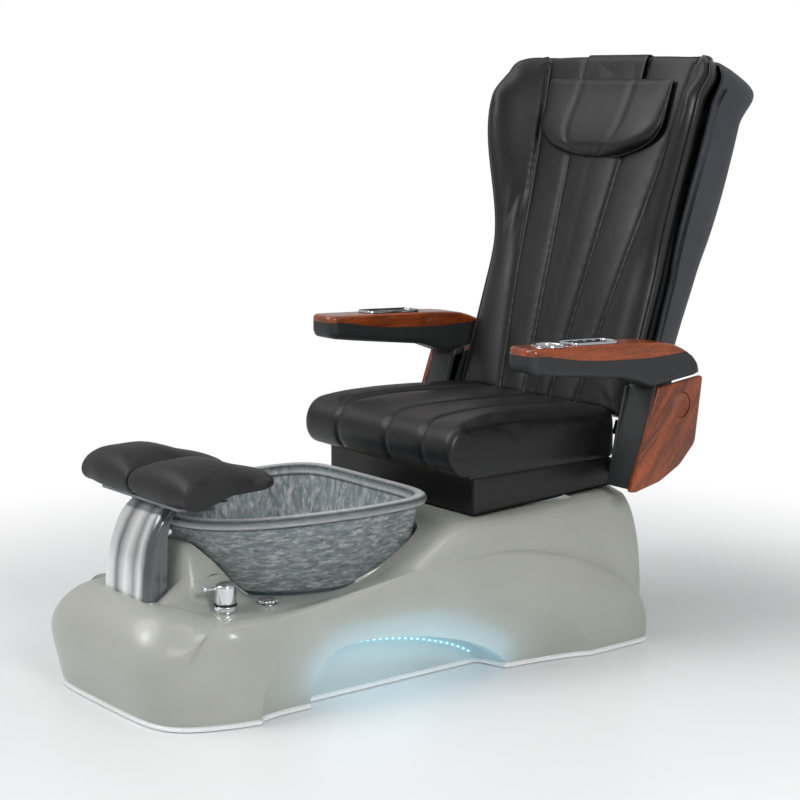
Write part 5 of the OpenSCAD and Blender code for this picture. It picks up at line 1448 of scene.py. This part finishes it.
class SPA_OT_headrest(bpy.types.Operator):
    """Builds the headrest pillow, its piping and the flap that carries it"""
    bl_idname = "spa.headrest"
    bl_label = "Headrest"

    def execute(self, context):
        S = sizes()
        low, high, back = 610.0, 802.0, -61.0
        half, thick_most = S["pillow_half"], S["pillow_thick"]

        def wide(z):
            below = np.clip((707 - z) / (707 - low), 0, 1)
            return np.maximum(6.0, half * np.sqrt(np.maximum(0, 1 - below**2.3)))

        def thick(k, z):
            edge = (1 - np.abs(k) ** 6) ** 0.5
            lower = np.clip((z - low) / 26, 0, 1) ** 0.5
            lid = np.clip((high + 1 - z) / 12, 0, 1) ** 0.5
            d = np.minimum(np.abs(k - 0.43), np.abs(k + 0.43))
            most = lerp(thick_most - 3, 10, ramp(z, low + 30, high)) - 3.5 * np.exp(-(d / 0.035) ** 2)
            return 3 + most * edge * lower * lid

        levels = np.concatenate([[low, low + 1.5, low + 4, low + 8], np.linspace(low + 14, high - 10, 34),
                                 [high - 6, high - 3, high - 1, high]])
        k = np.sin(np.linspace(-math.pi / 2, math.pi / 2, 61))
        behind = k[::-3][1:-1]
        rows = []
        for z in levels:
            front = np.column_stack([k * wide(z), back - thick(k, z)])
            rear = np.column_stack([behind * wide(z), np.full(len(behind), back)])
            rows.append(at_height(np.concatenate([front, rear]), z))
        pillow = make("pillow_pad", on_back(loft(rows, cap_rings=1)), "Leather, black coated", 180)
        subdivide(pillow)
        settle(pillow, "pillow", "black_leather", "headrest_pillow")

        line = [(side * (wide(z) - 0.5), back - 3.0, z) for side, walk in ((-1, levels[::-1]), (1, levels))
                for z in walk]
        edge = curve_through(line[::3] + [line[-1]], 260)
        welt = cord_line("pillow_piping", from_back(edge), 2.6, "Leather piping")
        settle(welt, "pillow", "black_leather")

        # The flap goes up behind the pillow and over the top of the back
        path = curve_through([(back - 1.3, high + 1.5), (back - 1.3, 842), (-60.6, 853), (-54.8, 863.4),
                              (-41, BACK_LONG + 2.6), (2, BACK_LONG + 2.4), (33, BACK_LONG - 0.6)], 40)
        across = np.gradient(path, axis=0)
        across = np.stack([across[:, 1], -across[:, 0]], 1) / np.linalg.norm(across, axis=1, keepdims=True)
        rows = []
        for x in np.concatenate([[-100, -99], np.linspace(-96, 96, 25), [99, 100]]):
            thin = 0.5 if abs(x) > 98 else 1.15
            ring = np.concatenate([path - across * thin, (path + across * thin)[::-1]])
            rows.append(np.column_stack([np.full(len(ring), x), ring]))
        flap = make("pillow_flap", on_back(loft(rows)), "Leather, black coated", 50)
        settle(flap, "pillow", "black_leather", "pillow_strap")
        return {"FINISHED"}


# ---- armrests ----
ARM_IN, ARM_OUT, ARM_FRONT, ARM_TOP, TOP_DROP = 308.7, 396.5, 39.7, 703.7, 11.2
ARM_TILT = math.atan(TOP_DROP / 290)
PIVOT = (483.0, 543.0)
# The armrest from the side, as (y, z): its top, its underside, and the joint between wood and black
UPPER = [(39.7, 694), (41, 699), (45, 702.2), (52, 703.6), (60, 703.7), (205, 698.3), (350, 692.5),
         (400, 689.5), (442, 684.5), (470, 676.5), (490, 668.2), (503, 661), (520, 650), (535, 634),
         (543, 620), (546, 610)]
LOWER = [(39.7, 688), (41, 665), (44, 656), (50, 651), (60, 648), (117, 640), (174, 633), (245, 624.5),
         (316, 616), (350, 607), (385, 594), (403, 588), (412, 590), (470, 598), (530, 604.5), (546, 609)]
JOINT = [(30, 687.9), (60, 687.8), (84, 686.2), (110, 681), (150, 673.8), (202, 667), (290, 660.5),
         (382, 657), (440, 658.4), (482, 660.7), (502.6, 661.2)]


def arm_bar(side):
    """One armrest's whole bar, rounded along every edge; it is then parted into wood and black."""
    t = np.linspace(0, 1, 90)
    ys = ARM_FRONT + (546 - ARM_FRONT) * (0.5 - 0.5 * np.cos(np.pi * t))
    nose = ARM_FRONT + np.array([0.0, 0.4, 1.0, 1.8, 3.0, 4.6, 6.6, 9.2, 12.4])
    ys = np.unique(np.concatenate([ys, nose]))
    rings = []
    for y in ys:
        top, low = np.interp(y, *np.transpose(UPPER)), np.interp(y, *np.transpose(LOWER))
        front = 24 - math.sqrt(max(0, 24**2 - max(0, 24 - (y - ARM_FRONT)) ** 2))
        half = (ARM_OUT - ARM_IN) / 2 - front - 10 * max(0.0, (y - 526) / 20) ** 2
        middle, height = (ARM_OUT + ARM_IN) / 2, max(2.0, top - low)
        high, deep = min(10.0, height * 0.45), min(14.0, height * 0.45)
        ring = []
        for x, z, r, start in ((half - deep, low + deep, deep, -90), (half - high, top - high, high, 0),
                               (-half + high, top - high, high, 90), (-half + deep, low + deep, deep, 180)):
            for a in np.radians(np.linspace(start, start + 90, 9)):
                ring.append((middle + x + r * math.cos(a), z + r * math.sin(a)))
        rings.append([(side * x, y, z) for x, z in resample_ring(np.array(ring), 84)])
    return loft(np.array(rings), cap_rings=1)


def wood_cutter(side, grow):
    """The room above the curved joint between the wood and the black body."""
    line = curve_through(JOINT, 60)
    outline = np.concatenate([line + (0, grow), [(502.6, 760), (20, 760), (20, 687.7 + grow)]])
    outline = outline[outline[:, 0] < 502.7]
    return make("cutter", slab(outline, 290, 415, 0.5, side), "Nitrile rubber")


def resample_ring(ring, count):
    closed = np.concatenate([ring, ring[:1]])
    along = np.concatenate([[0], np.cumsum(np.linalg.norm(np.diff(closed, axis=0), axis=1))])
    want = np.arange(count) / count * along[-1]
    return np.stack([np.interp(want, along, closed[:, k]) for k in range(2)], 1)


def fillet(points, radius):
    """A (y, z) outline with its corners rounded; radius is a number, or one for each corner."""
    p = np.asarray(points, float)
    out = []
    for i, b in enumerate(p):
        a, c = p[i - 1], p[(i + 1) % len(p)]
        r = radius[i] if hasattr(radius, "__len__") else radius
        ab, cb = a - b, c - b
        la, lc = np.linalg.norm(ab), np.linalg.norm(cb)
        angle = math.acos(np.clip(np.dot(ab, cb) / (la * lc), -1, 1))
        cut = min(r / math.tan(angle / 2), 0.45 * la, 0.45 * lc)
        if cut < 0.2:
            out.append(b)
            continue
        s, e = b + ab / la * cut, b + cb / lc * cut
        for t in np.linspace(0, 1, 7):
            out.append((1 - t) ** 2 * s + 2 * t * (1 - t) * b + t * t * e)
    return np.array(out)


def slab(outline, x0, x1, bevel, side=1):
    """A plate with that (y, z) outline between two x places, its edges rounded over."""
    d = np.roll(outline, -1, 0) - np.roll(outline, 1, 0)
    n = np.stack([d[:, 1], -d[:, 0]], 1) / np.maximum(np.linalg.norm(d, axis=1, keepdims=True), 1e-9)
    after = np.roll(outline, -1, 0)
    n *= np.sign(np.sum(outline[:, 0] * after[:, 1] - after[:, 0] * outline[:, 1]))
    steps = np.radians(np.linspace(0, 90, 5))
    rings = [(x0 + bevel * (1 - math.cos(a)), bevel * (1 - math.sin(a))) for a in steps]
    rings += [(x1 - bevel * (1 - math.cos(a)), bevel * (1 - math.sin(a))) for a in steps[::-1]]
    return loft([np.column_stack([np.full(len(outline), side * x), outline - n * inset])
                 for x, inset in rings], flat_ends=True)


def bore(piece, cutter, how="DIFFERENCE"):
    """Cuts one mesh by another and leaves a plain mesh."""
    made = piece.modifiers.new("bore", "BOOLEAN")
    made.object, made.operation, made.solver = cutter, how, "EXACT"
    keep = piece.data.materials[0]
    piece.data = evaluated(piece)
    bpy.data.objects.remove(cutter)
    if not len(piece.data.polygons):
        raise RuntimeError(f"{piece.name}: the cut left nothing")
    piece.data.materials.clear()
    piece.data.materials.append(keep)
    tidy_mesh(piece.data, 38)


def on_arm(points, y, side=1):
    """From a fitting's own frame, with z up from the arm's top, to the chair's."""
    p = np.asarray(points, float)
    c, s = math.cos(-ARM_TILT), math.sin(-ARM_TILT)
    top = ARM_TOP - (y - 60) * TOP_DROP / 290
    return np.stack([side * ((ARM_IN + ARM_OUT) / 2 + 2 + p[..., 0]), y + p[..., 1] * c - p[..., 2] * s,
                     top + p[..., 1] * s + p[..., 2] * c], -1)


def well_cutter():
    points, faces = lathe([(33, -44), (33, 25)], (0, 0, 0), count=72)
    return make("cutter", (on_arm(points, 123), faces), "Nitrile rubber")


class SPA_OT_armrests(bpy.types.Operator):
    """Builds both armrests: black body and post, wood cap, wood side panel and pivot cap"""
    bl_idname = "spa.armrests"
    bl_label = "Armrests"

    def execute(self, context):
        post = fillet([(346, 364), (376, 478), (408, 580), (416, 596), (446, 600), (442, 590), (404, 478),
                       (374, 364)], [6, 200, 40, 4, 4, 40, 200, 6])
        cheek = fillet([(400, 582), (548, 603), (538, 525), (528, 450), (482, 409), (420, 379), (350, 364),
                        (372, 477)], [4, 8, 60, 30, 40, 40, 8, 200])
        plate = fillet([(412, 588), (544, 603), (551, 599), (541, 525), (531, 452), (484, 407), (422, 377),
                        (348, 362), (329, 364), (372, 477)], [5, 5, 4, 200, 34, 60, 60, 16, 8, 300])
        for name, side in SIDES:
            body = make(f"arm_{name}_body", arm_bar(side), "Integral foam, matte black", 46)
            cap = make(f"arm_{name}_cap", arm_bar(side), "Walnut veneer, lengthwise", 46)
            bore(body, wood_cutter(side, -0.15))
            bore(cap, wood_cutter(side, 0.15), "INTERSECT")
            if side > 0:
                bore(body, well_cutter())
                bore(cap, well_cutter())
            rides, axis = f"arm_{name}", "x" if side > 0 else "-x"
            axle = lathe([(24, 0), (24, 86)], (side * 297.4, *PIVOT), axis)
            behind = join_solids(slab(post, 302, 384.0, 5, side), slab(cheek, 302, 308.7, 2, side), axle)
            rest = make(f"arm_{name}_post", behind, "Integral foam, matte black", 40)
            settle(joined(f"arm_{name}_black", [body, rest]), rides, "dark_plastic", f"arm_body_{name}")
            settle(cap, rides, "walnut", f"arm_cap_{name}")
            sheet = slab(plate, 384.6, ARM_OUT, 3.4, side)
            panel = make(f"arm_{name}_panel", sheet, "Walnut veneer, slanting", 40)
            ring = lathe([(29.4, 0), (29.4, 12)], (side * (ARM_OUT - 5), *PIVOT), axis, count=96)
            bore(panel, make("cutter", ring, "Nitrile rubber"))
            settle(panel, rides, "walnut", f"arm_panel_{name}")
            disc = join_solids(
                lathe([(28.9, 0), (28.9, 1.6), (28.2, 2.6), (26.6, 2.9), (24, 2.2), (19, 1.0), (12, 0.4),
                       (4, 0.2)], (side * (ARM_OUT - 4.6), *PIVOT), axis, count=96),
                lathe([(9, 0), (9, 104)], (side * 288, *PIVOT), axis))
            pin = f"arm_pivot_{name}"
            fit(f"arm_{name}_disc", disc, "Walnut veneer, slanting", body_of(pin), "walnut", pin, sharp=40)
        return {"FINISHED"}


def tray_solid(y, long, side):
    """A shallow tray with a rounded rim."""
    rows = []
    for inset, r, z in ((1, 11, 0.3), (0, 12, 1.2), (0, 12, 5.2), (0.4, 11.6, 6.0), (2.5, 9.6, 6.2),
                        (3, 9, 5.4), (3.3, 8.6, 3.2)):
        outline = rounded_box(28 - inset, inset - long / 2, long / 2 - inset, r, 8)
        rows.append(at_height(resample_ring(outline, 120), z))
    points, faces = loft(rows)
    return on_arm(points, y, side), faces


class SPA_OT_arm_fittings(bpy.types.Operator):
    """Builds the cup-holder ring, the trays and the keys on the armrests"""
    bl_idname = "spa.arm_fittings"
    bl_label = "Armrest fittings"

    def execute(self, context):
        ring = [(30.5, 0.8), (31.2, 2.6), (33, 3.6), (36, 3.7), (38.4, 2.8), (39, 1.0), (38.6, 0.3),
                (32.8, 0.3), (32.7, -42), (31, -43.5), (4, -43.5), (4, -41), (29.5, -41), (30.5, -40)]
        turns = np.arange(72) / 72 * 2 * math.pi
        cup = loft([on_arm([(r * math.cos(a), r * math.sin(a), h) for a in turns], 123) for r, h in ring],
                   closed=True)
        fit("cup_holder", cup, "Chromed brass", "arm_left", "chrome", "cup_ring", sharp=40)
        fit("tray_left", tray_solid(236, 130, 1), "Chromed brass", "arm_left", "chrome", "control_tray",
            sharp=40)
        fit("tray_right", tray_solid(247, 156, -1), "Chromed brass", "arm_right", "chrome", "side_tray",
            sharp=40)
        outline = resample_ring(rounded_box(24, -61, 61, 8, 8), 100)
        film = ((0.99, 3.6), (1, 4.0), (1, 4.7), (0.985, 5.0))
        parts = [loft([at_height(outline * k, z) for k, z in film])]
        for i in range(4):
            for x in (-10, 10):
                parts.append(lathe([(1, 4.9), (6, 4.9), (6, 5.6), (5.2, 6.1), (2, 6.2)], (x, -40 + 26 * i, 0),
                                   count=28))
        points, faces = join_solids(*parts)
        fit("key_panel", (on_arm(points, 236), faces), "Key film, gloss black", "arm_left", "key_film",
            "control_keys", sharp=40)
        return {"FINISHED"}


PLAIN_NODES = {
    "bowl_gasket": "Nitrile rubber", "drain_flange": "Chromed brass", "drain_nut": "PVC pipe, white",
    "drain_pipe": "PVC pipe, white", "drain_pump": "ABS, dark grey",
    "base_frame": "Steel, black powder coat", "levelling_feet": "Nitrile rubber",
    "control_box": "ABS, dark grey", "water_manifold": "Brass, cast", "supply_pipes": "Copper tube",
    "footrest_pin": "Steel, zinc plated", "footrest_bracket": "Steel, grey paint",
    "tap_body": "Chromed brass", "fixed_rails": "Steel, zinc plated",
    "moving_rails": "Steel, zinc plated", "slide_actuator": "Steel, black powder coat",
    "seat_frame": "Steel, black powder coat", "seat_pan": "Birch plywood",
    "recline_motor": "Steel, black powder coat", "recline_rod": "Steel, zinc plated",
    "recline_pins": "Steel, zinc plated", "back_frame": "Steel, black powder coat",
    "massage_tracks": "Steel, zinc plated", "massage_carriage": "Steel, grey paint",
    "rollers_lower": "ABS, dark grey", "rollers_upper": "ABS, dark grey",
}


class SPA_OT_working_parts(bpy.types.Operator):
    """Gives the frame, slide, drive and plumbing their finishes"""
    bl_idname = "spa.working_parts"
    bl_label = "Working parts"

    def execute(self, context):
        for node_name, finish in PLAIN_NODES.items():
            target = frame["nodes"][node_name]
            if target.material_slots:
                for place in target.material_slots:
                    place.material = material(finish)
            else:
                target.data.materials.append(material(finish))
        return {"FINISHED"}


def lamp(name, kind, power, place, heading):
    """A lamp of that power, turned along a heading."""
    made = bpy.data.lights.new(name, kind)
    made.energy = power
    holder = bpy.data.objects.new(name, made)
    holder.location = place
    holder.rotation_euler = Vector(heading).to_track_quat("-Z", "Y").to_euler()
    bpy.context.scene.collection.objects.link(holder)
    return made


class SPA_OT_stage(bpy.types.Operator):
    """Sets the floor, the lamps, the world and the camera"""
    bl_idname = "spa.stage"
    bl_label = "Stage"

    def execute(self, context):
        scene = context.scene
        scene.view_settings.view_transform = "Standard"
        lens = bpy.data.cameras.new("camera")
        lens.lens, lens.sensor_width, lens.clip_end = 86.58, 36.0, 50.0
        camera = bpy.data.objects.new("camera", lens)
        camera.location = (3.31207, -2.60476 - ORIGIN_Y * MM, 1.26211)
        camera.rotation_euler = (math.radians(80.43), 0.0, math.radians(51.79))
        scene.collection.objects.link(camera)
        scene.camera = camera

        mesh = bpy.data.meshes.new("floor")
        half = 9
        corners = [(-half, -half, 0), (half, -half, 0), (half, half, 0), (-half, half, 0)]
        mesh.from_pydata(corners, [], [(0, 1, 2, 3)])
        floor = bpy.data.objects.new("floor", mesh)
        scene.collection.objects.link(floor)
        made, tree, where = start_material("Floor, pale")
        shader = add(tree, "ShaderNodeBsdfPrincipled", {"Base Color": to_linear("#E6E7E8"), "Roughness": 0.3,
                                                        "Specular IOR Level": 0.35})
        # Away from the chair the camera sees the same white as the world behind
        reach = add(tree, "ShaderNodeVectorMath", {0: where}, operation="LENGTH")
        far = add(tree, "ShaderNodeMapRange", {"Value": (reach, "Value"), "From Min": 0.95, "From Max": 2.0},
                  interpolation_type="SMOOTHSTEP")
        rays = add(tree, "ShaderNodeLightPath")
        both = add(tree, "ShaderNodeMath", {0: (far, "Result"), 1: (rays, "Is Camera Ray")},
                   operation="MULTIPLY")
        white = add(tree, "ShaderNodeEmission", {"Color": (1, 1, 1, 1), "Strength": 1.0})
        mixed = add(tree, "ShaderNodeMixShader", {0: (both, 0), 1: (shader, "BSDF"), 2: (white, "Emission")})
        add(tree, "ShaderNodeOutputMaterial", {"Surface": (mixed, 0)})
        mesh.materials.append(made)

        world = bpy.data.worlds.new("world")
        world.use_nodes = True
        tree = world.node_tree
        tree.nodes.clear()
        rays = add(tree, "ShaderNodeLightPath")
        seen = add(tree, "ShaderNodeMath", {0: (rays, "Is Camera Ray"), 1: (rays, "Is Transmission Ray")},
                   operation="MAXIMUM")
        level = add(tree, "ShaderNodeMapRange", {"Value": (seen, 0), "To Min": 0.5, "To Max": 1.0})
        sky = add(tree, "ShaderNodeBackground", {"Color": (1, 1, 1, 1), "Strength": (level, "Result")})
        add(tree, "ShaderNodeOutputWorld", {"Surface": (sky, "Background")})
        scene.world = world

        sun = lamp("sun", "SUN", 1.2, (0, 0, 0), (0.45, 0.62, -1.0))
        sun.angle = math.radians(50)
        for name, place, height, width, power in (
                ("key", (-1.4, -3.2, 3.2), 0.4, 1.2, 26.0), ("side", (3.6, -1.2, 2.2), 0.6, 1.0, 62.0),
                ("top", (0.2, 0.2, 3.8), 0.5, 1.2, 8.0)):
            lamp(name, "AREA", power, place, Vector((0, 0, height)) - Vector(place)).size = width
        # A long, low lamp in each recess carries the diodes' light onto the floor
        for name, side in SIDES:
            long = lamp(f"recess_{name}", "AREA", 0.07, (side * 0.27, -0.22, 0.10), (side * 0.6, 0, -0.8))
            long.shape, long.size, long.size_y = "RECTANGLE", 0.42, 0.05
            long.color = to_linear("#A6E1F5")[:3]
        return {"FINISHED"}


# ---- what a user may change ----
def length(name, description, default):
    return bpy.props.FloatProperty(name=name, description=description, default=default * MM, precision=4,
                                   unit="LENGTH")


def colour(name, description, code):
    return bpy.props.FloatVectorProperty(name=name, description=description, default=to_linear(code)[:3],
                                         subtype="COLOR", size=3, min=0, max=1)


class SpaSizes(bpy.types.PropertyGroup):
    base_front: length("Base front", "Reach of the floor edge in front of the seat box", 757)
    base_rear: length("Base rear", "Reach of the floor edge behind the seat box's front", 445)
    fender_height: length("Fender height", "Height of the side fender's crest", 265)
    deck_height: length("Deck height", "Height of the deck beside the bowl", 206)
    platform_height: length("Platform height", "Height of the platform at the seat box", 331)
    collar_height: length("Collar height", "Height of the collar round the bowl's front", 330)
    arch_height: length("Recess height", "Height of the light recess", 196)
    rim_height: length("Rim height", "Height of the bowl's rim", 391)
    seat_half: length("Seat half width", "Half width of the seat cushion", 265)
    seat_top: length("Seat height", "Height of the seat cushion's top", 538)
    seat_nose: length("Seat overhang", "Reach of the seat cushion past the seat box", 75)
    channel: length("Channel depth", "Depth of the channels sewn in the leather", 6)
    pillow_half: length("Pillow half width", "Half width of the headrest pillow", 202)
    pillow_thick: length("Pillow thickness", "Thickness of the headrest pillow", 34)


class SpaColours(bpy.types.PropertyGroup):
    gel_coat: colour("Gel-coat", "Colour of the base moulding", "#A3A59D")
    leather: colour("Leather", "Colour of the seat and the backrest", "#101011")
    side_leather: colour("Side leather", "Colour of the backrest's cover", "#33353B")
    pad_vinyl: colour("Pad vinyl", "Colour of the foot pads", "#1F1F20")
    arm_black: colour("Armrest black", "Colour of the armrests' bodies", "#2A2B2C")
    wood_light: colour("Wood", "Main colour of the wood", "#8E4016")
    wood_dark: colour("Wood streaks", "Colour of the wood's dark streaks", "#43200F")
    glass: colour("Glass", "Colour of the bowl's glass", "#CBDCE0")


STEPS = ("working_parts", "base_moulding", "foot_bowl", "lights", "pedestal", "foot_pads", "valves",
         "seat_box", "seat_cushion", "back_cushion", "back_cover", "headrest", "armrests", "arm_fittings")


class SPA_PT_panel(bpy.types.Panel):
    """Lists the chair's pieces and its sizes and colours"""
    bl_label = "Spa chair"
    bl_idname = "SPA_PT_panel"
    bl_space_type = "VIEW_3D"
    bl_region_type = "UI"
    bl_category = "Spa chair"

    def draw(self, context):
        for step in ("stage",) + STEPS:
            self.layout.operator(f"spa.{step}")
        for group in (context.scene.spa_sizes, context.scene.spa_colours):
            for key in group.__annotations__:
                self.layout.prop(group, key)


CLASSES = (SpaSizes, SpaColours, SPA_OT_stage, SPA_OT_working_parts, SPA_OT_base_moulding,
           SPA_OT_foot_bowl, SPA_OT_lights, SPA_OT_pedestal, SPA_OT_foot_pads, SPA_OT_valves,
           SPA_OT_seat_box, SPA_OT_seat_cushion, SPA_OT_back_cushion, SPA_OT_back_cover,
           SPA_OT_headrest, SPA_OT_armrests, SPA_OT_arm_fittings, SPA_PT_panel)


def register():
    for item in CLASSES:
        bpy.utils.register_class(item)
    bpy.types.Scene.spa_sizes = bpy.props.PointerProperty(type=SpaSizes)
    bpy.types.Scene.spa_colours = bpy.props.PointerProperty(type=SpaColours)


def unregister():
    del bpy.types.Scene.spa_colours
    del bpy.types.Scene.spa_sizes
    for item in reversed(CLASSES):
        bpy.utils.unregister_class(item)


def main():
    register()
    bpy.ops.spa.stage()
    for step in STEPS:
        getattr(bpy.ops.spa, step)()


if __name__ == "__main__":
    main()
